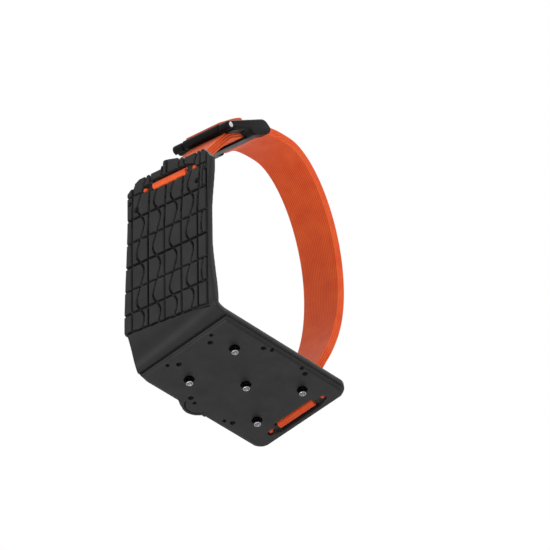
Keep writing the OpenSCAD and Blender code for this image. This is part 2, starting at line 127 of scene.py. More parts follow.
def mesh_piece(name, points, faces, material, smooth_angle=40):
    """Makes an object from points in mm (n x 3) and faces (m x 3 or m x 4 vertex numbers), in metres."""
    mesh = bpy.data.meshes.new(name)
    points = np.asarray(points, np.float32) * MM
    faces = np.asarray(faces, np.int32)
    mesh.vertices.add(len(points))
    mesh.vertices.foreach_set("co", points.ravel())
    mesh.loops.add(faces.size)
    mesh.loops.foreach_set("vertex_index", faces.ravel())
    mesh.polygons.add(len(faces))
    mesh.polygons.foreach_set("loop_start", np.arange(0, faces.size, faces.shape[1], dtype=np.int32))
    mesh.update(calc_edges=True)
    mesh.validate()
    mesh.shade_smooth()
    mesh.set_sharp_from_angle(angle=math.radians(smooth_angle))
    mesh.materials.append(material)
    piece = bpy.data.objects.new(name, mesh)
    scene.collection.objects.link(piece)
    print("%s: %d faces" % (name, len(mesh.polygons)))
    return piece


def stands_for(piece, body, slot, *nodes):
    """Lets a piece move with its body and take the place of CAD nodes. The slot is not used."""
    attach(piece, body)
    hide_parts(*nodes)


# %% [markdown]
# ## The finishes
# A colour on a screen is stored with the sRGB curve, while light adds up on a linear scale. One function
# turns hex values into linear ones. A second one adds a node to a material, sets its values and links it,
# so that each finish below reads as a short recipe.

# %% Colour and node helpers


def linear(code):
    """sRGB hex to linear: v / 12.92 below 0.04045, and ((v + 0.055) / 1.055) ** 2.4 above it."""
    v = np.array([int(code[i:i + 2], 16) for i in (1, 3, 5)]) / 255
    return (*np.where(v <= 0.04045, v / 12.92, ((v + 0.055) / 1.055) ** 2.4).tolist(), 1.0)


def add(material, kind, values=None, stops=(), **settings):
    """Adds one node with its settings and links.

    values maps an input's name or number to a constant, or to a linked (node, output). Stops are the pairs
    of position and hex on a colour ramp.
    """
    tree = material.node_tree
    node = tree.nodes.new(kind)
    for key, value in settings.items():
        setattr(node, key, value)
    for key, value in (values or {}).items():
        if isinstance(value, tuple) and len(value) == 2 and hasattr(value[0], "outputs"):
            tree.links.new(value[0].outputs[value[1]], node.inputs[key])
        else:
            node.inputs[key].default_value = value
    while len(stops) > 2 and len(node.color_ramp.elements) < len(stops):
        node.color_ramp.elements.new(0.5)
    for i, (place, code) in enumerate(stops):
        node.color_ramp.elements[i].position = place
        node.color_ramp.elements[i].color = linear(code)
    return node


def blank(name):
    """A new material with an empty node tree and its output."""
    material = bpy.data.materials.new(name)
    material.use_nodes = True
    material.node_tree.nodes.clear()
    return material, material.node_tree.nodes.new("ShaderNodeOutputMaterial")


def per_mm(size):
    """Noise scale on Object coordinates (metres) for a feature of that size in mm."""
    return 1000.0 / size


def finish_with(material, output, shader):
    """Links the shader to the material's output, which ends a recipe."""
    material.node_tree.links.new(shader.outputs[0], output.inputs["Surface"])
    print("finish:", material.name)
    return material


# %% [markdown]
# ## Black rubber, moulded
# The pad and flap are one moulding of carbon-black thermoplastic rubber. A spark-eroded mould leaves a satin
# face: broad soft highlights, with cloudy marks where the rubber flowed. The clouds are 9 mm wide, and the
# mould's grain is 0.5 mm, drawn a little coarser than real so that it shows. Plastic comes out of a mould
# too, so one recipe serves both.

# %% Moulded finish


def moulded(name, stops, clouds, gloss, grain, ior, mirror):
    """Noise clouds mix the tints and shift the roughness, and a finer noise bumps the normal.

    clouds are size in mm, detail and roughness of the noise, gloss is the roughness at 0.3 and at 0.7 of
    that noise, and grain is size in mm, strength and depth in mm.
    """
    material, output = blank(name)
    place = add(material, "ShaderNodeTexCoord")
    cloud = add(material, "ShaderNodeTexNoise", {"Vector": (place, "Object"), "Scale": per_mm(clouds[0]),
                                                 "Detail": clouds[1], "Roughness": clouds[2]})
    colour = add(material, "ShaderNodeValToRGB", {"Fac": (cloud, "Fac")}, stops)
    rough = add(material, "ShaderNodeMapRange", {"Value": (cloud, "Fac"), "From Min": 0.3, "From Max": 0.7,
                                                 "To Min": gloss[0], "To Max": gloss[1]})
    fine = add(material, "ShaderNodeTexNoise", {"Vector": (place, "Object"), "Scale": per_mm(grain[0])})
    bump = add(material, "ShaderNodeBump", {"Height": (fine, "Fac"), "Strength": grain[1],
                                            "Distance": grain[2] * MM})
    shader = add(material, "ShaderNodeBsdfPrincipled",
                 {"Base Color": (colour, "Color"), "Roughness": (rough, "Result"), "Normal": (bump, "Normal"),
                  "IOR": ior, "Specular IOR Level": mirror})
    return finish_with(material, output, shader)


rubber = moulded("rubber_moulded_satin_black", [(0.28, "#100f0f"), (0.52, "#151414"), (0.78, "#1b1a1a")],
                 clouds=(9, 5.0, 0.6), gloss=(0.54, 0.4), grain=(0.5, 0.5, 0.06), ior=1.52, mirror=0.27)
plate_rubber = moulded("hard_rubber_moulded_dark_grey",
                       [(0.28, "#131213"), (0.52, "#181718"), (0.78, "#1e1d1e")],
                       clouds=(9, 5.0, 0.6), gloss=(0.58, 0.44), grain=(0.5, 0.6, 0.06), ior=1.52, mirror=0.27)

# %% [markdown]
# ## Metals
# The studs are turned steel, blackened in an oxide bath, and the ice grinds their ends bright. The tips are
# sintered carbide, grey and grainy, and the buckle's pin is ground stainless steel, the brightest of the
# three. All are fully metallic and keep the default index. The grains of 0.3 to 0.4 mm are drawn coarser
# than real so that they show.

# %% Carbide and ground steel


def metal_face(material, output, place, colour, roughness, grain):
    """Ends a metal: a noise grain of (size in mm, strength) bumps a fully metallic shader of that colour."""
    fine = add(material, "ShaderNodeTexNoise", {"Vector": (place, "Object"), "Scale": per_mm(grain[0])})
    bump = add(material, "ShaderNodeBump", {"Height": (fine, "Fac"), "Strength": grain[1],
                                            "Distance": 0.03 * MM})
    shader = add(material, "ShaderNodeBsdfPrincipled",
                 {"Base Color": (colour, "Color"), "Metallic": 1.0, "Roughness": roughness,
                  "Normal": (bump, "Normal")})
    return finish_with(material, output, shader)


def bare_metal(name, dark, light, roughness, grain):
    """A bare metal: its tint drifts between two greys with a noise 2.5 mm wide."""
    material, output = blank(name)
    place = add(material, "ShaderNodeTexCoord")
    drift = add(material, "ShaderNodeTexNoise", {"Vector": (place, "Object"), "Scale": per_mm(2.5),
                                                 "Detail": 3.0})
    colour = add(material, "ShaderNodeValToRGB", {"Fac": (drift, "Fac")}, [(0.3, dark), (0.7, light)])
    return metal_face(material, output, place, colour, roughness, grain)


carbide = bare_metal("tungsten_carbide_sintered", "#77777a", "#9c9c9f", 0.3, (0.4, 0.35))
pin_steel = bare_metal("stainless_steel_ground_pin", "#b6b6b8", "#dededf", 0.24, (0.3, 0.35))

# %% Blackened steel with a worn end


def ground_end(name, black, bright, depth_mm, roughness, grain):
    """A blackened metal whose end is ground bright: the tint changes past a depth, along a ragged line."""
    material, output = blank(name)
    place = add(material, "ShaderNodeTexCoord")
    axes = add(material, "ShaderNodeSeparateXYZ", {"Vector": (place, "Object")})
    wear = add(material, "ShaderNodeTexNoise", {"Vector": (place, "Object"), "Scale": per_mm(0.8),
                                                "Detail": 3.0})
    ragged = add(material, "ShaderNodeMath", {0: (wear, "Fac"), 1: 0.4 * MM, 2: (axes, "Z")},
                 operation="MULTIPLY_ADD")
    worn = add(material, "ShaderNodeMapRange", {"Value": (ragged, "Value"), "From Min": (0.3 - depth_mm) * MM,
                                                "From Max": (0.1 - depth_mm) * MM})
    colour = add(material, "ShaderNodeValToRGB", {"Fac": (worn, "Result")}, [(0.1, black), (0.9, bright)])
    return metal_face(material, output, place, colour, roughness, grain)


steel = ground_end("steel_turned_black_oxide_ground_end", "#1b1b1d", "#a2a2a5", 7.3, 0.36, (0.3, 0.3))

# %% [markdown]
# ## Orange elastic, woven
# The straps are woven elastic: rubber cords run along the band, and orange yarn is woven round them, so a
# band shows fine ribs along its length and picks across it. The pattern follows the strap's own UV map, which
# is in millimetres: ribs every 1 mm across and picks every 0.7 mm along. Both only just raise the face, and
# the colour is painted darker where the weave sinks, as painted shade in its hollows.

# %% Woven elastic
RIB_MM, PICK_MM = 1.0, 0.7


def woven_elastic(name):
    """Ribs are a sine across the band, picks a sine along it, and the yarn is rib + 0.35 rib times pick."""
    material, output = blank(name)
    uv = add(material, "ShaderNodeUVMap", uv_map="weave_mm")
    axes = add(material, "ShaderNodeSeparateXYZ", {"Vector": (uv, "UV")})
    waves = []
    for axis, pitch in (("Y", RIB_MM), ("X", PICK_MM)):
        phase = add(material, "ShaderNodeMath", {0: (axes, axis), 1: 2 * math.pi / pitch}, operation="MULTIPLY")
        waves.append(add(material, "ShaderNodeMath", {0: (phase, "Value")}, operation="SINE"))
    rib, pick = waves
    cross = add(material, "ShaderNodeMath", {0: (rib, "Value"), 1: (pick, "Value")}, operation="MULTIPLY")
    yarn = add(material, "ShaderNodeMath", {0: (cross, "Value"), 1: 0.35, 2: (rib, "Value")},
               operation="MULTIPLY_ADD")
    place = add(material, "ShaderNodeTexCoord")
    drift = add(material, "ShaderNodeTexNoise", {"Vector": (place, "Object"), "Scale": per_mm(7), "Detail": 4.0})
    # The yarn's height also sets the colour: painted shade, darker in the weave's hollows.
    painted_hollow_shade = add(material, "ShaderNodeMapRange", {"Value": (yarn, "Value"), "From Min": -1.3, "From Max": 1.3,
                                                "To Min": 0.06, "To Max": 0.5})
    # A random drift of tint, plus that painted shade in the hollows.
    drift_and_hollow_shade = add(material, "ShaderNodeMath", {0: (drift, "Fac"), 1: 0.45, 2: (painted_hollow_shade, "Result")},
               operation="MULTIPLY_ADD")
    colour = add(material, "ShaderNodeValToRGB", {"Fac": (drift_and_hollow_shade, "Value")},
                 [(0.25, "#d44413"), (0.5, "#ec551c"), (0.75, "#f8702e")])
    bump = add(material, "ShaderNodeBump", {"Height": (yarn, "Value"), "Strength": 0.3, "Distance": 0.04 * MM})
    shader = add(material, "ShaderNodeBsdfPrincipled",
                 {"Base Color": (colour, "Color"), "Roughness": 0.55, "Normal": (bump, "Normal"), "IOR": 1.5,
                  "Specular IOR Level": 0.3, "Sheen Weight": 0.08, "Sheen Roughness": 0.4})
    return finish_with(material, output, shader)


elastic = woven_elastic("polyester_elastic_woven_orange")

# %% [markdown]
# ## Moulded plastics
# The anchor bars and the lever's cover are orange nylon, and the buckle is black acetal, both injection
# moulded. A finely blasted mould gives them a soft sheen, and handling dulls it in patches of about 4 mm. The
# mould's grain of 0.35 mm is drawn coarser than real so that it shows. Nylon mirrors more than black acetal.

# %% Injection-moulded plastics
orange_plastic = moulded("nylon_moulded_orange", [(0.3, "#e04a16"), (0.7, "#f05c24")],
                         clouds=(4, 6.0, 0.5), gloss=(0.4, 0.54), grain=(0.35, 0.2, 0.03), ior=1.48, mirror=0.35)
black_plastic = moulded("acetal_moulded_black", [(0.3, "#090808"), (0.7, "#100f0f")],
                        clouds=(4, 6.0, 0.5), gloss=(0.36, 0.5), grain=(0.35, 0.2, 0.03), ior=1.48, mirror=0.13)

# %% [markdown]
# ## Stage and light
# The cleat stands on its five studs, and the portrait looks up at it from under the floor. So the floor shows
# only its upper face: seen from below it is clear, and it lets lamp light and reflections through. One soft
# lamp stands below, one at the camera's right and one above, at a level where a colour looks as it is
# written. The world is white to the eye and to reflections, and half as strong as a light.

# %% Floor
FLOOR_HALF, FLOOR_Z = 900.0, -8.05
floor_mat, floor_out = blank("floor_painted_pale")
face = add(floor_mat, "ShaderNodeNewGeometry")
path = add(floor_mat, "ShaderNodeLightPath")
side = add(floor_mat, "ShaderNodeMath", {0: (face, "Backfacing"), 1: (path, "Is Shadow Ray")},
           operation="MAXIMUM")
clear_if = add(floor_mat, "ShaderNodeMath", {0: (side, "Value"), 1: (path, "Is Glossy Ray")},
               operation="MAXIMUM")
paint = add(floor_mat, "ShaderNodeBsdfDiffuse", {"Color": linear("#f2f2f1")})
clear = add(floor_mat, "ShaderNodeBsdfTransparent")
floor_mix = add(floor_mat, "ShaderNodeMixShader", {0: (clear_if, "Value"), 1: (paint, 0), 2: (clear, 0)})
finish_with(floor_mat, floor_out, floor_mix)
floor_corners = np.array([[-1, -1], [1, -1], [1, 1], [-1, 1]]) * FLOOR_HALF
floor = mesh_piece("floor", np.column_stack([floor_corners, np.full(4, FLOOR_Z)]), np.array([[0, 1, 2, 3]]),
                   floor_mat)

# %% World
world = bpy.data.worlds.new("studio_white")
scene.world = world
world.use_nodes = True
world.node_tree.nodes.clear()
seen = add(world, "ShaderNodeLightPath")
seen_a = add(world, "ShaderNodeMath", {0: (seen, "Is Camera Ray"), 1: (seen, "Is Glossy Ray")},
             operation="MAXIMUM")
seen_b = add(world, "ShaderNodeMath", {0: (seen_a, "Value"), 1: (seen, "Is Transmission Ray")},
             operation="MAXIMUM")
strength = add(world, "ShaderNodeMapRange", {"Value": (seen_b, "Value"), "To Min": 0.5, "To Max": 1.0})
sky = add(world, "ShaderNodeBackground", {"Color": (1, 1, 1, 1), "Strength": (strength, "Result")})
world_out = world.node_tree.nodes.new("ShaderNodeOutputWorld")
world.node_tree.links.new(sky.outputs[0], world_out.inputs["Surface"])
scene.view_settings.view_transform = "Standard"
print("world:", world.name)

# %% Lamps


def soft_lamp(name, place, size, watts):
    """A square area lamp that faces the cleat's middle."""
    data = bpy.data.lights.new(name, "AREA")
    data.size, data.energy = size, watts
    lamp = bpy.data.objects.new(name, data)
    lamp.location = place
    lamp.rotation_euler = (Vector(place) - aim).to_track_quat("Z", "Y").to_euler()
    scene.collection.objects.link(lamp)
    print("%s: %.1f m wide, %.1f W" % (name, size, watts))


soft_lamp("lamp_below", aim + Vector((-0.15, -0.56, -0.81)) * 0.75, 0.35, 2.4)
soft_lamp("lamp_camera_right", aim + back * 0.6 + right * 0.3 + up * 0.25, 0.4, 0.8)
soft_lamp("lamp_above", aim + Vector((0.2, 0.1, 0.8)), 0.6, 4.0)

# %% [markdown]
# ## A moulded sheet on a grid
# Pad, bend and flap are one sheet of rubber. A sheet is easiest as a middle surface on a grid of two
# parameters, with a thickness to each side that may change from point to point: grooves, steps and rounded
# edges are then only differences in that thickness. Lines of the grid are pushed onto the outline and onto
# round holes, cells inside a hole are left out, and a wall closes every open edge.

# %% Closed sheet


def onto_circle(x, y, cx, cy, radius, reach=0.22):
    """Pushes the grid points that lie within reach of a circle radially onto it."""
    d = np.hypot(x - cx, y - cy)
    near = np.abs(d - radius) < reach
    scale = np.where(near, radius / np.maximum(d, 1e-6), 1.0)
    return cx + (x - cx) * scale, cy + (y - cy) * scale


def rounded(distance, radius):
    """Drop of a rounded edge: r - sqrt(r2 - (r - d)2) at a distance d from the edge, 0 past the radius."""
    gap = np.clip(radius - distance, 0, radius)
    return radius - np.sqrt(np.maximum(radius ** 2 - gap ** 2, 0))


def closed_sheet(name, middle, normal, outer, inner, keep, material):
    """Middle surface plus normal times outer and inner offsets, faces on kept cells, walls on open edges."""
    rows, cols = outer.shape
    size = rows * cols
    flat = middle.reshape(-1, 3)
    _, first, back_to = np.unique(np.round(flat, 3), axis=0, return_index=True, return_inverse=True)
    ids = first[back_to.ravel()].reshape(rows, cols)
    a, b, c, d = ids[:-1, :-1], ids[:-1, 1:], ids[1:, 1:], ids[1:, :-1]
    tri = np.concatenate([np.stack([a, b, c], -1)[keep], np.stack([a, c, d], -1)[keep]])
    tri = tri[(tri[:, 0] != tri[:, 1]) & (tri[:, 1] != tri[:, 2]) & (tri[:, 2] != tri[:, 0])]
    edges = np.concatenate([tri[:, [0, 1]], tri[:, [1, 2]], tri[:, [2, 0]]])
    rim = edges[~np.isin(edges[:, 0] * size + edges[:, 1], edges[:, 1] * size + edges[:, 0])]
    wall_a = np.stack([rim[:, 1], rim[:, 0], rim[:, 0] + size], -1)
    wall_b = np.stack([rim[:, 1], rim[:, 0] + size, rim[:, 1] + size], -1)
    faces = np.concatenate([tri, tri[:, ::-1] + size, wall_a, wall_b])
    points = np.concatenate([flat + (normal * outer[..., None]).reshape(-1, 3),
                             flat + (normal * inner[..., None]).reshape(-1, 3)])
    used, faces = np.unique(faces, return_inverse=True)
    return mesh_piece(name, points[used], faces.reshape(-1, 3), material)


# %% [markdown]
# ## The tread
# The flap's grip pattern is a grid of straight grooves with one wavy groove in each field, which swings to
# the toe and to the heel by turns. The upper columns fan out to the toe, and the lowest row climbs to the
# heel. It could be carved with cutters, but each groove is also a distance: to a row, a column or a skewed
# sine line. Where that distance is under half a groove's width, the face drops by the groove's depth.

# %% Lines of the tread
ROW_STEP, WAVE_SWING, WAVE_SKEW, FOOT_CLIMB = 11.66, 2.2, 0.37, 2.6
ROWS = SLOT_H - 0.6 - ROW_STEP * np.arange(6, -1, -1)
COLUMNS = np.array([-22.5, -12.6, -2.8, 7.3, 17.1, 22.5])
MIDDLES = (COLUMNS[:4] + COLUMNS[1:5]) / 2 + 0.2
# How far a column leans to the toe at the top, at four places across, and the heights where that grows.
FAN_AT, FAN_BY, FAN_FROM, FAN_TO = [-22.5, -12.6, 18.6, 22.8], [0.7, 1.3, 2.4, 0.3], 50, 84


def tread_foot(x):
    """The tread's lower end: its lowest row, which climbs towards the heel."""
    return ROWS[0] + FOOT_CLIMB * (0.5 - x / (2 * FLAP_HALF))


def upright_x(x, h):
    """Undoes the fan of the upper columns: x less the lean at that place, which grows with the height."""
    return x - np.interp(x, FAN_AT, FAN_BY) * smooth(FAN_FROM, FAN_TO, h)


def wave_swing(h):
    """How far the wavy grooves swing to the toe at a height: a sine that lingers, then turns back quickly."""
    phase = np.pi * (h - ROWS[0]) / ROW_STEP
    return WAVE_SWING * np.sin(phase - WAVE_SKEW * np.sin(phase))


print("tread rows at", np.round(ROWS, 1), "mm up the flap")

# %% Depth of the tread
# Half width and depth of the grooves. The narrow wave lies in the last field, with a smaller swing.
ROW_CUT, COLUMN_CUT, WAVE_CUT, NARROW_CUT = (0.48, 1.25), (0.42, 1.1), (0.36, 1.05), (0.3, 0.8)
NARROW_X, NARROW_SWING, SLOPE_STEP = 20.2, 0.45, 0.05


def groove(distance, half, depth):
    """A groove with a round lip: full depth in the middle, rising to the face just past its half width."""
    return depth * (1 - smooth(half - 0.22, half + 0.2, distance))


def tread_depth(x, h):
    """Depth of the tread at a place across (x) and up (h) the flap, the deepest of all its grooves."""
    above_foot = h - tread_foot(x)
    in_tread = smooth(-0.6, -0.2, above_foot)
    row = np.minimum(np.abs(h[..., None] - ROWS[1:]).min(-1), np.abs(above_foot))
    depth = groove(row, *ROW_CUT) * (1 - smooth(COLUMNS[-1] + 0.2, COLUMNS[-1] + 0.6, x))
    x = upright_x(x, h)
    column = np.abs(x[..., None] - COLUMNS).min(-1)
    depth = np.maximum(depth, groove(column, *COLUMN_CUT) * in_tread)
    swing = wave_swing(h)
    wave = np.abs(x[..., None] - MIDDLES - swing[..., None]).min(-1)
    slant = 1 / np.hypot(1, (wave_swing(h + SLOPE_STEP) - wave_swing(h - SLOPE_STEP)) / (2 * SLOPE_STEP))
    depth = np.maximum(depth, groove(wave * slant, *WAVE_CUT) * in_tread)
    narrow = np.abs(x - NARROW_X - NARROW_SWING * swing)
    seen_at = in_tread * (swing < 0) * (h < ROWS[-1])
    return np.maximum(depth, groove(narrow * slant, *NARROW_CUT) * seen_at)


print("deepest groove %.2f mm" % max(cut[1] for cut in (ROW_CUT, COLUMN_CUT, WAVE_CUT, NARROW_CUT)))

# %% [markdown]
# ## The outline of the rubber moulding
# The pad has round corners and a round lobe at the heel. The flap has a soft waist at its toe edge, a foot
# that spreads, cut corners at the top and a tab that tapers to the toe. The moulding could be cut from a flat
# sheet along its outline. Here each edge is a function of the place along it, and the grid is clipped there.

# %% Outline of pad and flap
# Spread of the flap's foot to heel and toe, waist of the flap and of the bend, rounding at the fold.
FOOT_HEEL, FOOT_TOE, WAIST, HEEL_WAIST, FOLD_ROUND = 2.0, 1.0, 2.0, 1.9, 1.0
# Tab: its toe end, mm to the heel per mm up, height, heel end and slope there. Depth of a notch in an edge.
TAB_TOE, TAB_SLOPE, TAB_H, TAB_HEEL, TAB_RISE, NOTCH = 10.9, 3.7, 3.4, -5.5, 0.59, 1.25
CORNER_R, LOBE_R, LOBE_X, LOBE_Y = 6.0, 9.0, 6.0 - PAD_HEEL, -6.0
# The flap's cut corners, as heights and places across, and the height of the notch in its heel edge.
HEEL_CUT = [0, 77, 80.7, FLAP_TOP], [-FLAP_HALF, -FLAP_HALF, -21, -17.5]
TOE_CUT = [0, 77, 81.9, FLAP_TOP], [FLAP_HALF, FLAP_HALF, 21.5, 19.5]
HEEL_NOTCH_H = 79.6
# Heights between which the heel's spread, the toe's spread and the lower and upper half of the waist change.
HEEL_FADE, TOE_FADE, WAIST_IN, WAIST_OUT = (10, 66), (6, 22), (14, 38), (50, 76)


def pad_toe(y, inset=0.0):
    """The pad's toe edge at a place y across the sole: straight, then a round corner, less an inset."""
    past = np.maximum(y - PAD_OUT + CORNER_R, 0)
    return PAD_HALF - CORNER_R + np.sqrt(np.maximum((CORNER_R - inset) ** 2 - past ** 2, 0))


def pad_heel(y, inset=0.0):
    """The heel edge: the toe edge's curve turned round, with a round lobe, and drawn in at the fold."""
    reach = LOBE_R - inset
    lobe = np.sqrt(np.maximum(reach ** 2 - (y - LOBE_Y) ** 2, 0)) * (np.abs(y - LOBE_Y) < reach)
    drawn_in = FOLD_ROUND * (1 - smooth(-PAD_IN, -PAD_IN + 7, y))
    plain = PAD_HALF - PAD_HEEL - pad_toe(y, inset)
    return np.minimum(plain, np.where(lobe > 0, LOBE_X - lobe, 0)) + drawn_in


def flap_left(h):
    """The flap's heel edge: it spreads down to the tread's foot, is cut off at the top and leads into the tab."""
    low = tread_foot(-FLAP_HALF)
    spread = FOOT_HEEL * (1 - smooth(*HEEL_FADE, h)) * smooth(low - 1.6, low + 0.2, h)
    spread = spread - NOTCH * (1 - smooth(0.2, 1.1, np.abs(h - HEEL_NOTCH_H)))
    return np.where(h > FLAP_TOP, TAB_HEEL + (h - FLAP_TOP) * TAB_RISE, np.interp(h, *HEEL_CUT) - spread)


def flap_right(h):
    """The flap's toe edge: a soft waist half way up and a spread foot, cut off at the top, then the tab."""
    waist = WAIST * smooth(*WAIST_IN, h) * (1 - smooth(*WAIST_OUT, h))
    spread = FOOT_TOE * (1 - smooth(*TOE_FADE, h)) - waist
    return np.where(h > FLAP_TOP, TAB_TOE - (h - FLAP_TOP) * TAB_SLOPE, np.interp(h, *TOE_CUT) + spread)


print("pad from %.1f to %.1f mm, heel to toe" % (pad_heel(LOBE_Y), pad_toe(LOBE_Y)))

# %% [markdown]
# ## The bend
# From the pad the sheet turns up in a bend that is wide at the heel and tight at the toe, because the flap
# leans. An arc can't do both, so the bend is a cubic curve for every place along the fold: it leaves the pad
# flat and meets the flap along the flap's own slope. The cross product of its two slopes is the normal.

# %% Cubic bend
BEND_PULL = 0.56


def along_fold(u):
    """Where a place u along the flap's foot meets the pad, whose heel side reaches further out."""
    return u - (PAD_HEEL - PAD_HALF) * (0.5 - u / (2 * FLAP_HALF))


def bend_sheet(u, f):
    """Cubic from the pad's edge to the flap at u along the fold, f from 0 to 1, and its outward normal."""
    top_y, top_z = FLAP_MID - math.sin(SPLAY), BEND_H + math.cos(SPLAY)
    rise = np.array([math.cos(SPLAY) * math.sin(LEAN), -math.sin(SPLAY), math.cos(SPLAY) * math.cos(LEAN)])
    start = np.stack(np.broadcast_arrays(along_fold(u), -PAD_IN, -PAD_T / 2), -1).astype(float)
    end = tipped(u, top_y, top_z)
    out = start + np.array([0, BEND_PULL * (top_y + PAD_IN), 0])
    into = end - rise * BEND_PULL * (end[..., 2:] + PAD_T / 2)
    du_start = np.array([1.0, 0, 0])
    du_end = np.array([math.cos(LEAN), 0, -math.sin(LEAN)])
    du_into = du_end + rise * BEND_PULL * math.sin(LEAN)
    g, f = 1 - f[..., None], f[..., None]
    place = start * g ** 3 + 3 * out * f * g ** 2 + 3 * into * f ** 2 * g + end * f ** 3
    along = 3 * ((out - start) * g ** 2 + 2 * (into - out) * f * g + (end - into) * f ** 2)
    across = du_start * (g ** 3 + 3 * f * g ** 2) + du_into * 3 * f ** 2 * g + du_end * f ** 3
    normal = np.cross(across, along)
    return place, normal / np.linalg.norm(normal, axis=-1, keepdims=True)


print("bend starts %.0f mm across and ends %.0f mm up" % (-PAD_IN, BEND_H + 1))

# %% [markdown]
# ## The rubber moulding
# Pad, bend and flap now share one grid. Its lines are denser over the tread, and some of them lie exactly on
# the slots' edges, so that a slot is a block of cells left out. The flap's top edge has a notch where an
# upright groove runs out.

# %% Grid of the moulding


def grid_lines(*runs):
    """Sorted lines of a grid from runs of (first, last, count), where an end that runs share counts once."""
    return np.unique(np.round(np.concatenate([np.linspace(*run) for run in runs]), 4))


grid_x = grid_lines((LOBE_X - LOBE_R - 0.2, -FLAP_HALF, 18), (-FLAP_HALF, -SLOT_X, SLOT_STEPS + 1),
                    (-SLOT_X, SLOT_X, 57), (SLOT_X, FLAP_HALF, SLOT_STEPS + 1),
                    (FLAP_HALF + 0.25, FLAP_HALF + FOOT_TOE, 4))
pad_y = grid_lines((-PAD_IN, SLOT_Y - LOW_HALF, 80), (SLOT_Y - LOW_HALF, SLOT_Y + LOW_HALF, 20),
                   (SLOT_Y + LOW_HALF, PAD_OUT, 12))[::-1]
flap_h = grid_lines((BEND_H + 1, SLOT_LOW, 184), (SLOT_LOW, SLOT_TOP, 26), (SLOT_TOP, FLAP_TOP, 8),
                    (FLAP_TOP + 0.02, FLAP_TOP + TAB_H, 10))
bend_f = np.linspace(0, 1, 42)[1:-1]
print("grid of %d by %d lines" % (len(pad_y) + len(bend_f) + len(flap_h), len(grid_x)))

# %% Middle of pad and bend
drift = 1 - smooth(-PAD_IN, -PAD_IN + 15, pad_y)[:, None]
pad_x = grid_x + drift * (along_fold(np.clip(grid_x, -PAD_HALF, PAD_HALF)) - grid_x)
pad_x = np.clip(pad_x, pad_heel(pad_y)[:, None], pad_toe(pad_y)[:, None])
pad_yy = np.broadcast_to(pad_y[:, None], pad_x.shape)
pad_mid = np.stack([pad_x, pad_yy, np.full_like(pad_x, -PAD_T / 2)], -1)
pad_normal = np.broadcast_to(np.array([0.0, 0, -1]), pad_mid.shape)
foot, belly = smooth(0, 1, bend_f)[:, None], (4 * bend_f * (1 - bend_f))[:, None]
bend_heel = -PAD_HALF + FOLD_ROUND + (PAD_HALF - FLAP_HALF - FOLD_ROUND) * foot + HEEL_WAIST * belly
bend_u = np.clip(grid_x, bend_heel, PAD_HALF + (FLAP_HALF + FOOT_TOE - PAD_HALF) * foot)
bend_mid, bend_normal = bend_sheet(bend_u, np.broadcast_to(bend_f[:, None], bend_u.shape))
print("pad and bend: %d points" % (pad_x.size + bend_u.size))

# %% Middle of the flap
SEAT_R = BEAD_R + 0.35
flap_x = np.clip(grid_x, flap_left(flap_h)[:, None], flap_right(flap_h)[:, None])
flap_hh = np.broadcast_to(flap_h[:, None], flap_x.shape).copy()
for s in (-1, 1):
    flap_x, flap_hh = onto_circle(flap_x, flap_hh, s * BEAD_X, SLOT_H, SEAT_R)
cuts = np.concatenate([COLUMNS[[0, 1, 3, 4]], MIDDLES + wave_swing(FLAP_TOP)])
from_cut = np.abs(upright_x(flap_x, FLAP_TOP)[..., None] - cuts).min(-1)
flap_hh -= NOTCH * (1 - smooth(0.2, 1.0, from_cut)) * smooth(FLAP_TOP - 3, FLAP_TOP, flap_hh)
flap_mid = tipped(flap_x, FLAP_MID - (flap_hh - BEND_H) * math.sin(SPLAY),
                  BEND_H + (flap_hh - BEND_H) * math.cos(SPLAY))
flap_normal = np.broadcast_to(np.array([-math.sin(SPLAY) * math.sin(LEAN), -math.cos(SPLAY),
                                        -math.sin(SPLAY) * math.cos(LEAN)]), flap_mid.shape)
middle = np.concatenate([pad_mid, bend_mid, flap_mid])
normal = np.concatenate([pad_normal, bend_normal, flap_normal])
print("flap: %d points" % flap_x.size)

# %% [markdown]
# ## Relief of the moulding
# The flap's face carries the tread, four blind holes, and at each end of the slot a slit that narrows to the
# seat of a bead. The bead lies in a round blind seat, and the bar's neck runs under the slit. All of these
# are depths, and the deepest one counts. The distance from the nearest edge rounds the rim.

# %% Distance from the edge
NO_FLAP, TAB_FROM = -99.0, -4.6
step = np.linalg.norm(np.diff(np.concatenate([bend_mid, flap_mid[:1]]), axis=0), axis=-1)
bend_h = BEND_H + 1 - np.cumsum(step[::-1], axis=0)[::-1]
all_x = np.concatenate([pad_x, bend_u, flap_x])
all_h = np.concatenate([np.full_like(pad_x, NO_FLAP), bend_h, flap_hh])
left = np.concatenate([pad_heel(pad_y), bend_u[:, 0], flap_left(flap_h)])[:, None]
right_edge = np.concatenate([pad_toe(pad_y), bend_u[:, -1], flap_right(flap_h)])[:, None]
flap_top = FLAP_TOP + np.clip((TAB_TOE - all_x) / TAB_SLOPE, 0, TAB_H) * (all_x > TAB_FROM)
edge = np.minimum(np.minimum(all_x - left, right_edge - all_x), flap_top - all_h)
edge[:len(pad_y)] = np.minimum(edge[:len(pad_y)], PAD_OUT - pad_yy)
in_slot = np.maximum(np.abs(all_x) - SLOT_X, np.maximum(SLOT_LOW - all_h, all_h - SLOT_TOP))
edge = np.minimum(edge, np.maximum(in_slot, 0))
print("furthest point from an edge: %.1f mm" % edge.max())

# %% Thickness of the moulding
# Blind holes of the flap: place across, distance below the slot's middle, radius. Then the depths.
FLAP_HOLES = ((-19.4, 8.3, 1.25), (-23.8, 4.0, 0.95), (17.2, 7.8, 1.25), (22.4, 3.4, 0.95))
HOLE_DEPTH, SEAT_DEPTH, RECESS, OUT_ROUND, IN_ROUND = 1.4, 2.8, 1.38, 0.7, 0.5
# A slit's reach above and below its middle line at the bead, and the width of its lip.
SLIT_OVER, SLIT_UNDER, SLIT_LIP = 1.3, 1.2, 0.35


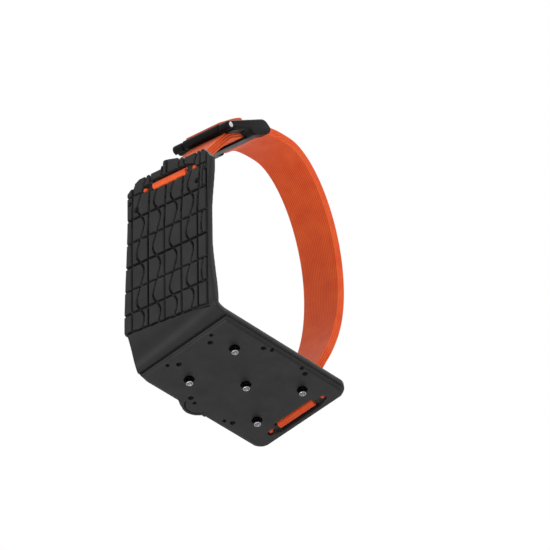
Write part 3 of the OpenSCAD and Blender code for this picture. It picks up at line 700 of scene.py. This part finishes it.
def slit(x, away, slot_x, bead_x, high):
    """Share of the recess's depth beside a slot: as tall as the slot at its end, narrowing to the bead."""
    x = np.abs(x)
    over = np.interp(x, [slot_x, bead_x], [high - 0.25, SLIT_OVER])
    past = np.maximum(away - over, -SLIT_UNDER - away)
    return (1 - smooth(0, SLIT_LIP, past)) * (1 - smooth(bead_x, bead_x + 0.5, x)) * (x > slot_x - 0.1)


half = np.concatenate([np.full(len(pad_y), PAD_T / 2), PAD_T / 2 + (FLAP_T - PAD_T) / 2 * bend_f,
                       np.full(len(flap_h), FLAP_T / 2)])[:, None]
holes = sum(HOLE_DEPTH * (1 - smooth(r - 0.2, r + 0.2, np.hypot(all_x - x, all_h - SLOT_H + down)))
            for x, down, r in FLAP_HOLES)
channel = RECESS * slit(all_x, all_h - SLOT_H, SLOT_X, BEAD_X, SLOT_TOP - SLOT_H)
from_seat = np.hypot(np.abs(all_x) - BEAD_X, all_h - SLOT_H)
seat = SEAT_DEPTH * (1 - smooth(BEAD_R, SEAT_R + 0.01, from_seat))
drop = np.maximum.reduce([tread_depth(all_x, all_h) * (all_h > 0), holes, channel, seat])
outer = half - np.maximum(drop, rounded(edge, OUT_ROUND))
inner = -half + rounded(edge, IN_ROUND)
print("thinnest place %.2f mm" % (outer - inner).min())

# %% Slots and mesh of the moulding
cell_x = (all_x[:-1, :-1] + all_x[1:, 1:]) / 2
cell_h = (all_h[:-1, :-1] + all_h[1:, 1:]) / 2
cell_y = (middle[:-1, :-1, 1] + middle[1:, 1:, 1]) / 2
hole = (np.abs(cell_x) < SLOT_X) & (cell_h > SLOT_LOW) & (cell_h < SLOT_TOP)
hole |= (np.abs(cell_x) < LOW_SLOT_X) & (np.abs(cell_y - SLOT_Y) < LOW_HALF) & (cell_h < NO_FLAP / 2)
top_row = len(pad_y) + len(bend_f) + np.searchsorted(flap_h, FLAP_TOP - 0.001)
hole[top_row] |= np.diff(all_x[top_row + 1]) == 0
stands_for(closed_sheet("rubber_moulding", middle, normal, outer, inner, ~hole, rubber),
           "sole", "rubber", "rubber_body")

# %% [markdown]
# ## The stud plate
# A harder plate is bonded under the pad. It has a stepped rim, a groove that follows the lobe, a round recess
# about every stud, pairs of small blind holes, and the strap's slot with its slits and bead seats. It could
# be a flat block with pockets cut into it. It is made as the same kind of sheet, lying flat, so that the
# circles of the grid give every pocket a clean edge.

# %% Grid of the stud plate
INSET, STUD_HOLE_R, GROOVE_IN, SIDES = 0.8, 2.5, 1.55, (-1, 1)
STUDS = np.array([[-13.6, -21.8], [13.6, -21.8], [0, 0], [-13.6, 21.8], [13.6, 21.8]])
BLIND = [(sx * x, 1.4 + sy * y, r) for x, y, r in ((21.8, 13.4, 1.3), (23.2, 9.6, 1.0))
         for sx in SIDES for sy in SIDES]
BLIND += [(sx * x, y, r) for x, y, r in ((9.4, -32.6, 1.3), (13.1, -35.9, 1.0)) for sx in SIDES]
plate_half, lobe_r = PAD_HALF - INSET, LOBE_R - INSET
plate_x = grid_lines((LOBE_X - lobe_r - 0.2, -plate_half, 16), (-plate_half, -LOW_SLOT_X, 38),
                     (-LOW_SLOT_X, LOW_SLOT_X, 56), (LOW_SLOT_X, plate_half, 38))
plate_y = grid_lines((-PAD_IN + INSET, SLOT_Y - LOW_HALF, 172), (SLOT_Y - LOW_HALF, SLOT_Y + LOW_HALF, 20),
                     (SLOT_Y + LOW_HALF, PAD_OUT - INSET, 12))[::-1]
plate_left, plate_right = pad_heel(plate_y, INSET)[:, None], pad_toe(plate_y, INSET)[:, None]
px = np.clip(plate_x, plate_left, plate_right)
py = np.broadcast_to(plate_y[:, None], px.shape).copy()
edge = np.minimum.reduce([px - plate_left, plate_right - px, PAD_OUT - INSET - py, py + PAD_IN - INSET])
rounds = [(s * LOW_BEAD_X, SLOT_Y, SEAT_R) for s in SIDES] + BLIND + [(x, y, STUD_HOLE_R) for x, y in STUDS]
rounds += [(LOBE_X, LOBE_Y, lobe_r - GROOVE_IN + s * 0.35) for s in (1, -1)]
for cx, cy, r in rounds:
    on_x, on_y = onto_circle(px, py, cx, cy, r)
    px, py = np.where(edge > 0.3, on_x, px), np.where(edge > 0.3, on_y, py)
print("plate: %d points, %d circles" % (px.size, len(rounds)))

# %% Relief and mesh of the stud plate
RIM_STEP, LOBE_CUT, STUD_CUT, BLIND_CUT, LOW_SEAT_DEPTH = 0.7, 0.8, 1.25, 1.5, 1.9
in_slot = np.maximum(np.abs(px) - LOW_SLOT_X, np.abs(py - SLOT_Y) - LOW_HALF)
on_lobe = smooth(-LOBE_X + 2.2, -LOBE_X + 3.4, -px) * (np.abs(py - LOBE_Y) < lobe_r)
lobe_groove = 1 - smooth(0.15, 0.45, np.abs(lobe_r - np.hypot(px - LOBE_X, py - LOBE_Y) - GROOVE_IN))
drop = RIM_STEP * (1 - smooth(1.1, 1.5, edge)) * (1 - on_lobe) + LOBE_CUT * lobe_groove * on_lobe
drop = np.maximum(drop + rounded(edge, 0.4), rounded(np.maximum(in_slot, 0), 0.5))
for cx, cy in STUDS:
    drop = np.maximum(drop, STUD_CUT * (1 - smooth(2.2, STUD_HOLE_R + 0.01, np.hypot(px - cx, py - cy))))
for cx, cy, r in BLIND:
    drop = np.maximum(drop, BLIND_CUT * (1 - smooth(r - 0.35, r, np.hypot(px - cx, py - cy))))
drop = np.maximum(drop, RECESS * slit(px, py - SLOT_Y, LOW_SLOT_X, LOW_BEAD_X, LOW_HALF))
from_seat = np.hypot(np.abs(px) - LOW_BEAD_X, py - SLOT_Y)
drop = np.maximum(drop, LOW_SEAT_DEPTH * (1 - smooth(BEAD_R, SEAT_R + 0.01, from_seat)))
plate_mid = np.stack([px, py, np.full_like(px, -PAD_T - PLATE_T / 2)], -1)
plate_normal = np.broadcast_to(np.array([0.0, 0, -1]), plate_mid.shape)
cell_x, cell_y = (px[:-1, :-1] + px[1:, 1:]) / 2, (py[:-1, :-1] + py[1:, 1:]) / 2
hole = (np.abs(cell_x) < LOW_SLOT_X) & (np.abs(cell_y - SLOT_Y) < LOW_HALF)
stands_for(closed_sheet("stud_plate_moulding", plate_mid, plate_normal, PLATE_T / 2 - drop,
                        np.full_like(px, -PLATE_T / 2 + 0.02), ~hole, plate_rubber),
           "sole", "sole_plate", "stud_plate")

# %% [markdown]
# ## Turned pieces
# Studs, tips, anchor bars and the pin all come off a lathe or out of a round mould, so each is a profile of
# radius against length, carried round an axis. A screw modifier could spin it too, but rings worked out as
# one array leave no seam. A fan about a middle point closes each end.

# %% Lathe


def split(quads):
    """Cuts quads (n x 4 vertex numbers) into triangles, each along the diagonal from its first corner."""
    return np.concatenate([quads[:, [0, 1, 2]], quads[:, [0, 2, 3]]])


def capped_tube(name, rings, ends, material, smooth_angle):
    """Joins rings of points (rows x around x 3) into a tube, and closes it by fans about two end points."""
    rows, around = rings.shape[:2]
    ids = np.arange(rows * around).reshape(rows, around)
    nxt = np.roll(ids, -1, axis=1)
    quads = np.stack([ids[:-1], nxt[:-1], nxt[1:], ids[1:]], -1).reshape(-1, 4)
    caps = np.concatenate([np.stack([nxt[0], ids[0], np.full(around, rows * around)], -1),
                           np.stack([ids[-1], nxt[-1], np.full(around, rows * around + 1)], -1)])
    return mesh_piece(name, np.concatenate([rings.reshape(-1, 3), ends]), np.concatenate([split(quads), caps]),
                      material, smooth_angle)


def lathe(name, lengths, radii, centre, axis, material, around=48):
    """Carries a radius profile round an axis: centre + axis * length + radius * (u cos a + v sin a)."""
    axis = np.asarray(axis, float) / np.linalg.norm(axis)
    u = np.cross(axis, [0, 1, 0] if abs(axis[1]) < 0.9 else [1, 0, 0])
    u = u / np.linalg.norm(u)
    v = np.cross(axis, u)
    angle = np.linspace(0, 2 * np.pi, around, endpoint=False)
    ring = np.cos(angle)[:, None] * u + np.sin(angle)[:, None] * v
    lengths, radii = np.asarray(lengths, float)[:, None, None], np.asarray(radii, float)[:, None, None]
    rings = np.asarray(centre, float) + lengths * axis + radii * ring
    ends = np.asarray(centre, float) + lengths[[0, -1], 0] * axis
    return capped_tube(name, rings, ends, material, 35)


# %% [markdown]
# ## Studs and tips
# A stud is held by a flange between plate and pad. Below the plate it is a short shank with a turned groove
# and a tapered nose, and a carbide tip is pressed into the nose. The tip's end is dished, so its rim bites.
# Each is one profile, given as pairs of depth below the pad's top and radius.

# %% Studs
STUD_PROFILE = [(2.1, 2.0), (2.1, 4.5), (2.95, 4.5), (3.0, 4.4), (3.0, 1.7), (5.6, 1.7), (5.75, 1.62),
                (5.95, 1.62), (6.1, 1.7), (7.2, 1.62), (7.45, 1.5), (7.55, 1.35), (7.5, 1.1), (7.4, 1.0)]
TIP_PROFILE = [(5.0, 1.0), (7.3, 1.0), (7.8, 0.98), (7.95, 0.9), (8.0, 0.78), (7.9, 0.6), (7.75, 0.42),
               (7.7, 0.2)]
DOWN = (0, 0, -1)
for i, (cx, cy) in enumerate(STUDS, 1):
    stud = lathe("stud_turned_%d" % i, *np.transpose(STUD_PROFILE), (cx, cy, 0), DOWN, steel)
    stands_for(stud, "sole", "stud_steel", "stud_%d" % i)
    tip = lathe("stud_carbide_%d" % i, *np.transpose(TIP_PROFILE), (cx, cy, 0), DOWN, carbide)
    stands_for(tip, "sole", "carbide", "stud_tip_%d" % i)

# %% [markdown]
# ## Anchor bars
# A strap's loop is held in its slot by a small orange bar with a bead on each end. It is moulded in one, so
# it is one profile too: a thick rod inside the loop, a thin neck that runs under the rubber, and a bead as
# a circle that lies in its seat.

# %% Anchor bars
NECK_STEPS = np.array([5.0, 4.8, 2.9, 2.3])
bead = np.linspace(0, np.pi * 0.94, 20)


def bar_profile(bead_x):
    """Length and radius of a bar: rod, neck, then a bead as a half circle about bead_x, on both sides."""
    bead_len = bead_x - BEAD_R * np.cos(bead)
    bead_rad = np.maximum(BEAD_R * np.sin(bead), np.where(bead < 1.2, NECK_R, 0))
    lengths = np.concatenate([bead_x - NECK_STEPS, bead_len])
    radii = np.concatenate([[ROD_R, NECK_R, NECK_R, NECK_R], bead_rad])
    return np.concatenate([-lengths[::-1], lengths]), np.concatenate([radii[::-1], radii])


lower_bar = lathe("lower_anchor_rod", *bar_profile(LOW_BEAD_X), (0, SLOT_Y, LOW_BAR_Z * math.cos(LEAN)),
                  (1, 0, 0), orange_plastic, 32)
stands_for(lower_bar, "sole", "anchor", "lower_anchor_bar")
upper_start = np.array([FLAP_MID - (SLOT_H - BEND_H) * math.sin(SPLAY),
                        BEND_H + (SLOT_H - BEND_H) * math.cos(SPLAY)])
upper_bar = lathe("upper_anchor_rod", *bar_profile(BEAD_X), tipped(0, *upper_start), tipped(1, 0, 0),
                  orange_plastic, 32)
stands_for(upper_bar, "sole", "anchor", "upper_anchor_bar")

# %% [markdown]
# ## The route of the straps
# Each strap is two loops of elastic, one inside the other, so four plies lie together. The middle line runs
# through control points as cubic curves, and the two sides of a loop follow it at half the gap, which opens
# where the loop goes round its bar. Cloth could be simulated, but these straps are stretched tight, so
# their routes are known. The buckle has its own slope, from its mouth up to its far rod.

# %% Sizes of the buckle
STACK = 4 * PLY + 3 * PLY_GAP
HALF_IN = (PLY + PLY_GAP) / 2
HALF_OUT = HALF_IN + PLY + PLY_GAP
# Floor of the frame, radius of the lever's barrel above and under the pin, and what its ribs take up.
FLOOR_T, BARREL_R, ROLL_R, GRIP_H = 1.0, 2.5, 1.8, 0.4
STRAP_MID = FLOOR_T + FIT + STACK / 2
PIN_H, PIN_T = FLOOR_T + FIT + STACK + 0.52, BARREL_R + 0.4
FRAME_L, FAR_R = 31.0, 1.5
FAR_T = FRAME_L - FAR_R - 1
FAR_IN = FAR_R + FIT + PLY / 2
FAR_OUT = FAR_IN + PLY + PLY_GAP
FAR_H = FLOOR_T + FAR_OUT
PIN_AT = np.array([-35.6, FLAP_TOP + 24.5])
along_buckle = np.array([math.cos(BUCKLE_SLOPE), math.sin(BUCKLE_SLOPE)])
off_buckle = np.array([-math.sin(BUCKLE_SLOPE), math.cos(BUCKLE_SLOPE)])
mouth = PIN_AT - PIN_T * along_buckle - PIN_H * off_buckle


def in_buckle(t, h):
    """A place along the buckle's floor (t) and above it (h), in the leaning plane."""
    return mouth + np.multiply.outer(t, along_buckle) + np.multiply.outer(h, off_buckle)


print("four plies are %.2f mm thick" % STACK)

# %% Strap routes
CLIMB = math.radians(54)


def cubic(a, b, c, d, n):
    """Cubic curve through four control points in n steps, without its first point."""
    f = np.linspace(0, 1, n + 1)[1:, None]
    return a * (1 - f) ** 3 + 3 * b * f * (1 - f) ** 2 + 3 * c * f ** 2 * (1 - f) + d * f ** 3


# The other control points are distances in mm along and across, chosen so that the curves join smoothly.
climb = np.array([math.cos(CLIMB), math.sin(CLIMB)])
under_lever = PIN_AT + (ROLL_R + GRIP_H + FIT + STACK / 2) * np.array([climb[1], -climb[0]])
turn_up = under_lever - 14 * climb
in_frame = in_buckle(PIN_T + 10.5, STRAP_MID)
upper_route = np.concatenate([
    upper_start[None], cubic(upper_start, upper_start + [7.5, 0.3], turn_up - 6 * climb, turn_up, 48),
    np.linspace(turn_up, under_lever, 13)[1:],
    cubic(under_lever, under_lever + 4 * climb, in_buckle(PIN_T + 6.5, STRAP_MID), in_frame, 24),
    in_buckle(np.linspace(PIN_T + 10.5, PIN_T + 16, 7)[1:], STRAP_MID)])
far_start, low_end = in_buckle(FAR_T, FAR_H), np.array([SLOT_Y, LOW_BAR_Z])
crest, hip = np.array([9, PIN_AT[1] + 17.5]), np.array([PAD_OUT + 8, FLAP_TOP * 0.7])
lower_route = np.concatenate([
    far_start[None], cubic(far_start, in_buckle(FAR_T + 8, FAR_H), crest - [9, 0], crest, 28),
    cubic(crest, crest + [17, 0], hip + [0, 36], hip, 54),
    cubic(hip, hip - [0, 27], low_end + [1, 24], low_end, 54)])


def run_along(line):
    """Length along a line of points, from 0 at its first point."""
    return np.concatenate([[0], np.cumsum(np.linalg.norm(np.diff(line, axis=0), axis=1))])


print("upper strap route %.0f mm, lower %.0f mm" % (run_along(upper_route)[-1], run_along(lower_route)[-1]))

# %% Loops along a route
OPENING = 9.0


def half_turn(centre, side, radius):
    """Half a circle about a bar in steps of 10 degrees: centre + radius * (side cos a + ahead sin a)."""
    angle = np.radians(np.arange(10, 180, 10))[:, None]
    return centre + radius * (side * np.cos(angle) + np.array([side[1], -side[0]]) * np.sin(angle))


def loop_line(route, gap, start_r, end_r):
    """Line of a loop laid along a route: both sides at the half gap, joined by half turns round the bars."""
    tangent = np.gradient(route, axis=0)
    tangent /= np.linalg.norm(tangent, axis=1, keepdims=True)
    side = np.stack([-tangent[:, 1], tangent[:, 0]], -1)
    run = run_along(route)
    width = gap + (start_r - gap) * (1 - smooth(0, OPENING, run))
    if end_r:
        width = width + (end_r - gap) * (1 - smooth(0, OPENING, run[-1] - run))
    width = width[:, None]
    start_turn = half_turn(route[0], side[0], -start_r)
    a, b = route + side * width, (route - side * width)[::-1]
    if not end_r:
        return np.concatenate([b, start_turn, a])
    return np.concatenate([a, half_turn(route[-1], side[-1], end_r), b, start_turn])


print("loops open over the last %.0f mm before a bar" % OPENING)

# %% [markdown]
# ## Elastic bands
# A band is a flat profile with round edges, carried along its loop. Near its anchor bar the elastic is pulled
# thin, and the upper strap is drawn in as well, as a stretched band is. The length along the loop and the
# place across the width are kept as a UV map in millimetres, so the weave follows every bend.

# %% Profile of a band
EDGE_R = 0.45
edge_angle = np.radians(np.linspace(-80, 80, 5))
flat_w = np.linspace(-STRAP_W / 2 + EDGE_R, STRAP_W / 2 - EDGE_R, 8)
profile_w = np.concatenate([flat_w, STRAP_W / 2 - EDGE_R + EDGE_R * np.cos(edge_angle[::-1]),
                            flat_w[::-1], -STRAP_W / 2 + EDGE_R - EDGE_R * np.cos(edge_angle)])
profile_n = np.concatenate([np.full(8, 0.5), 0.5 * np.sin(edge_angle[::-1]), np.full(8, -0.5),
                            0.5 * np.sin(edge_angle)]) * PLY
print("band profile of %d points" % len(profile_w))

# %% Points of a band
# Distances from the bar where a band is pulled, and heights where a lower one turns level and comes upright.
PULL_FADE, LEVEL_FADE, UPRIGHT_FADE = (3, 9), (6, 76), (3, 29)


def band_points(line, closed, drawn, bar):
    """Place + normal * thickness along a line, with the width laid across the leaning plane.

    Thickness and width shrink near the bar. A closed band comes upright and level again down at the pad.
    """
    ahead, behind = np.roll(line, -1, axis=0), np.roll(line, 1, axis=0)
    if not closed:
        ahead[-1], behind[0] = line[-1], line[0]
    tangent = (ahead - behind) / np.linalg.norm(ahead - behind, axis=1, keepdims=True)
    side = np.stack([-tangent[:, 1], tangent[:, 0]], -1)
    free = smooth(*PULL_FADE, np.linalg.norm(line - bar, axis=1))
    thin, across = PULLED + (1 - PULLED) * free, profile_w * (1 - drawn + drawn * free[:, None])
    flat = line[:, None] + side[:, None] * profile_n[:, None] * thin[:, None, None]
    y, z = flat[..., 0], flat[..., 1]
    angle = LEAN * smooth(*LEVEL_FADE, z) if closed else np.full_like(z, LEAN)
    shift = smooth(*UPRIGHT_FADE, z) if closed else 1.0
    return np.stack([z * math.sin(LEAN) * shift + across * np.cos(angle), y,
                     z * math.cos(LEAN) - across * np.sin(angle)], -1)


print("elastic is pulled thin within %d mm of a bar" % PULL_FADE[1])

# %% Bands of elastic


def band(name, line, closed, drawn, bar, material):
    """Faces between the profiles along a line, a fan on each end of an open band, and the UV map in mm."""
    points = band_points(line, closed, drawn, bar)
    rows, cols = points.shape[:2]
    ids = np.arange(rows * cols).reshape(rows, cols)
    last = None if closed else -1
    a, b = ids[:last], np.roll(ids, -1, axis=0)[:last]
    tri = split(np.stack([a, b, np.roll(b, -1, axis=1), np.roll(a, -1, axis=1)], -1).reshape(-1, 4))
    if not closed:
        fan = np.arange(1, cols - 1)
        tri = np.concatenate([tri, np.stack([np.zeros_like(fan), fan, fan + 1], -1),
                              np.stack([np.zeros_like(fan), fan + 1, fan], -1) + (rows - 1) * cols])
    piece = mesh_piece(name, points.reshape(-1, 3), tri, material, 60)
    uv = np.stack(np.broadcast_arrays(run_along(line)[:, None], profile_w), -1)
    corner = np.zeros(len(piece.data.loops), np.int32)
    piece.data.loops.foreach_get("vertex_index", corner)
    layer = piece.data.uv_layers.new(name="weave_mm")
    layer.data.foreach_set("uv", uv.reshape(-1, 2)[corner].astype(np.float32).ravel())
    return piece


for name, route, gap, start_r, end_r, bar in (
        ("upper_strap_outer", upper_route, HALF_OUT, TURN_OUT, 0, upper_start),
        ("upper_strap_inner", upper_route, HALF_IN, TURN_IN, 0, upper_start),
        ("lower_strap_outer", lower_route, HALF_OUT, FAR_OUT, TURN_OUT, low_end),
        ("lower_strap_inner", lower_route, HALF_IN, FAR_IN, TURN_IN, low_end)):
    line = loop_line(route, gap, start_r, end_r)
    woven = band(name + "_woven", line, bool(end_r), 0 if end_r else DRAWN, bar, elastic)
    stands_for(woven, "sole", "elastic", name)

# %% [markdown]
# ## Moulded blocks of the buckle
# Cheeks, lever and cover are all a side view carried across the buckle, with rounded edges where the mould
# parts. A block with a bevel would do for a plain shape. Here each corner of the side view is rounded by its
# own radius, the outline is drawn in a little at both ends, and a fan of triangles closes it.

# %% Side view carried across


def round_corners(outline, radii, steps=6):
    """Replaces each corner by an arc-like quadratic curve from a radius before it to a radius after it."""
    outline, radii = np.asarray(outline, float), np.broadcast_to(radii, len(outline))[:, None]
    before, after = np.roll(outline, 1, axis=0) - outline, np.roll(outline, -1, axis=0) - outline
    gone = np.linalg.norm(before, axis=1, keepdims=True)
    coming = np.linalg.norm(after, axis=1, keepdims=True)
    start = outline + before / gone * np.minimum(radii, 0.48 * gone)
    end = outline + after / coming * np.minimum(radii, 0.48 * coming)
    f = np.linspace(0, 1, steps + 1)[None, :, None]
    curve = start[:, None] * (1 - f) ** 2 + 2 * outline[:, None] * f * (1 - f) + end[:, None] * f ** 2
    return curve.reshape(-1, 2)


def carried_across(name, outline, x0, x1, edge_r, material, heart=None, crown=0.0):
    """Outline in (t, h) of the buckle carried from x0 to x1, drawn in round the ends by the edge radius.

    The points above the middle rise by crown * (1 - v2), where v runs from -1 to 1 across the piece.
    """
    tangent = np.roll(outline, -1, axis=0) - np.roll(outline, 1, axis=0)
    tangent /= np.maximum(np.linalg.norm(tangent, axis=1, keepdims=True), 1e-9)
    outward = np.stack([tangent[:, 1], -tangent[:, 0]], -1)
    arc = np.radians(np.linspace(0, 90, 6))[:-1]
    reach, drawn_in = edge_r * (1 - np.cos(arc)), edge_r * (1 - np.sin(arc))
    place = np.concatenate([x0 + reach, np.linspace(x0 + edge_r, x1 - edge_r, 9), x1 - reach[::-1]])
    inset = np.concatenate([drawn_in, np.zeros(9), drawn_in[::-1]])
    bow = crown * (1 - ((place - (x0 + x1) / 2) / ((x1 - x0) / 2)) ** 2)
    side = outline[None] - outward[None] * inset[:, None, None]
    side[..., 1] += bow[:, None] * (outline[:, 1] > outline[:, 1].mean())
    flat = in_buckle(side[..., 0], side[..., 1])
    heart = outline.mean(0) if heart is None else np.asarray(heart, float)
    ends = tipped(np.array([x0, x1]), *in_buckle(heart[0], heart[1]))
    return capped_tube(name, tipped(place[:, None], flat[..., 0], flat[..., 1]), ends, material, 38)


# %% [markdown]
# ## Buckle frame and pin
# The frame is two cheeks on a thin floor, with a rod at the far end that carries the long strap. A cheek's
# nose is an arc about the pin. The steel pin runs through both cheeks, and its bright end shows on the side.
# It is turned from the same kind of profile as the studs.

# %% Buckle frame
CHEEK_T, CHEEK_H, KEEL_H, NOSE_R = 5.75, PIN_H + 1.3, PIN_H - 2.7, 2.25
INNER_W, ROD_WAIST = STRAP_W + 1.5, 0.12
FRAME_HALF, WEB_HALF = INNER_W / 2 + CHEEK_T, INNER_W / 2 + 1
BED_T, BED_END = PIN_T + 12.5, FAR_T - FAR_OUT - PLY / 2 - 0.6
nose = np.radians(np.linspace(110, 242, 12))
nose = np.stack([PIN_T + NOSE_R * np.cos(nose), PIN_H + NOSE_R * np.sin(nose)], -1)
keel = round_corners([[PIN_T + 1.2, KEEL_H], [BED_T, KEEL_H], [BED_T + 2, 0], [FRAME_L - 2, 0], [FRAME_L, 2],
                      [FRAME_L - 2, CHEEK_H - 1], [FRAME_L - 4, CHEEK_H], nose[0]], [1.2] * 7 + [0.01])
cheek = np.concatenate([nose, keel[:-7]])
base = round_corners([[BED_T + 1, 0], [BED_END, 0], [BED_END, FLOOR_T], [BED_T + 1, FLOOR_T]], 0.3)
rod_len = np.linspace(-WEB_HALF, WEB_HALF, 9)
rod_rad = FAR_R - ROD_WAIST * np.cos(np.linspace(-np.pi / 2, np.pi / 2, 9))
for piece in (
        carried_across("buckle_cheek_heel", cheek, -FRAME_HALF, -FRAME_HALF + CHEEK_T, 0.7, black_plastic),
        carried_across("buckle_cheek_toe", cheek, INNER_W / 2, INNER_W / 2 + CHEEK_T, 0.7, black_plastic),
        carried_across("buckle_web", base, -WEB_HALF, WEB_HALF, 0.1, black_plastic),
        lathe("buckle_far_rod", rod_len, rod_rad, tipped(0, *in_buckle(FAR_T, FAR_H)), tipped(1, 0, 0),
              black_plastic, 32)):
    stands_for(piece, "sole", "buckle", "buckle_frame")

# %% Pin
pin_len = FRAME_HALF + 0.2 + np.array([-0.4, -0.1, 0.05])
pin_rad = np.array([1.3, 1.2, 0.9])
pin = lathe("pivot_pin_ground", np.concatenate([-pin_len[::-1], pin_len]),
            np.concatenate([pin_rad[::-1], pin_rad]), tipped(0, *PIN_AT), tipped(1, 0, 0), pin_steel, 40)
stands_for(pin, "sole", "pin_steel", "pivot_pin")

# %% [markdown]
# ## Lever and cover
# The lever turns on the pin. Its barrel is flattened below and has ribs that press the strap against the
# floor when it lies flat. Its arm carries an orange cover, a wedge with a crowned top that is thin at the pin.
# Both are side views carried across, and both move with the lever's own body.

# %% Lever
LEVER_L, LEVER_T, LEVER_HALF = 20.0, 1.7, (INNER_W - 0.9) / 2
# Ribs of the barrel: height, middle, reach to both sides, and how many pass in a radian, times 2 pi.
RIB_H, RIB_AT, RIB_REACH, RIB_RATE = 0.45, math.radians(291), 0.48, 20
turn = np.radians(np.linspace(90, 338, 46))
ribs = RIB_H * np.maximum(np.cos((turn - RIB_AT) * RIB_RATE), 0) * (np.abs(turn - RIB_AT) < RIB_REACH)
under = smooth(math.radians(100), math.radians(200), turn)
barrel_r = BARREL_R + (ROLL_R - BARREL_R) * under + ribs
barrel = np.stack([barrel_r * np.cos(turn), barrel_r * np.sin(turn)], -1)
arm = round_corners([[LEVER_L - 1, BARREL_R - LEVER_T - 0.8], [LEVER_L, BARREL_R - LEVER_T],
                     [LEVER_L, BARREL_R - 0.6], [LEVER_L - 1, BARREL_R]], 0.4)
lever_line = np.concatenate([barrel, [[2.6, 0.55]], arm]) + [PIN_T, PIN_H]
lever = carried_across("buckle_lever_arm", lever_line, -LEVER_HALF, LEVER_HALF, 0.3, black_plastic,
                       heart=(PIN_T + 0.5, PIN_H + 1.5))
stands_for(lever, "lever", "buckle", "buckle_lever")

# %% Cover
COVER_T, COVER_FRONT, COVER_HALF = 2.35, 0.95, LEVER_HALF - 0.6
cover_line = round_corners([[0.9, BARREL_R], [LEVER_L - 1, BARREL_R], [LEVER_L - 2, BARREL_R + COVER_T],
                            [LEVER_L - 7, BARREL_R + COVER_T], [1.3, BARREL_R + COVER_FRONT]],
                           [0.1, 0.1, 0.8, 2.0, 0.3]) + [PIN_T, PIN_H]
cover = carried_across("lever_cover_crowned", cover_line, -COVER_HALF, COVER_HALF, 0.2, orange_plastic,
                       crown=0.15)
stands_for(cover, "lever", "lever_cover", "lever_cover")
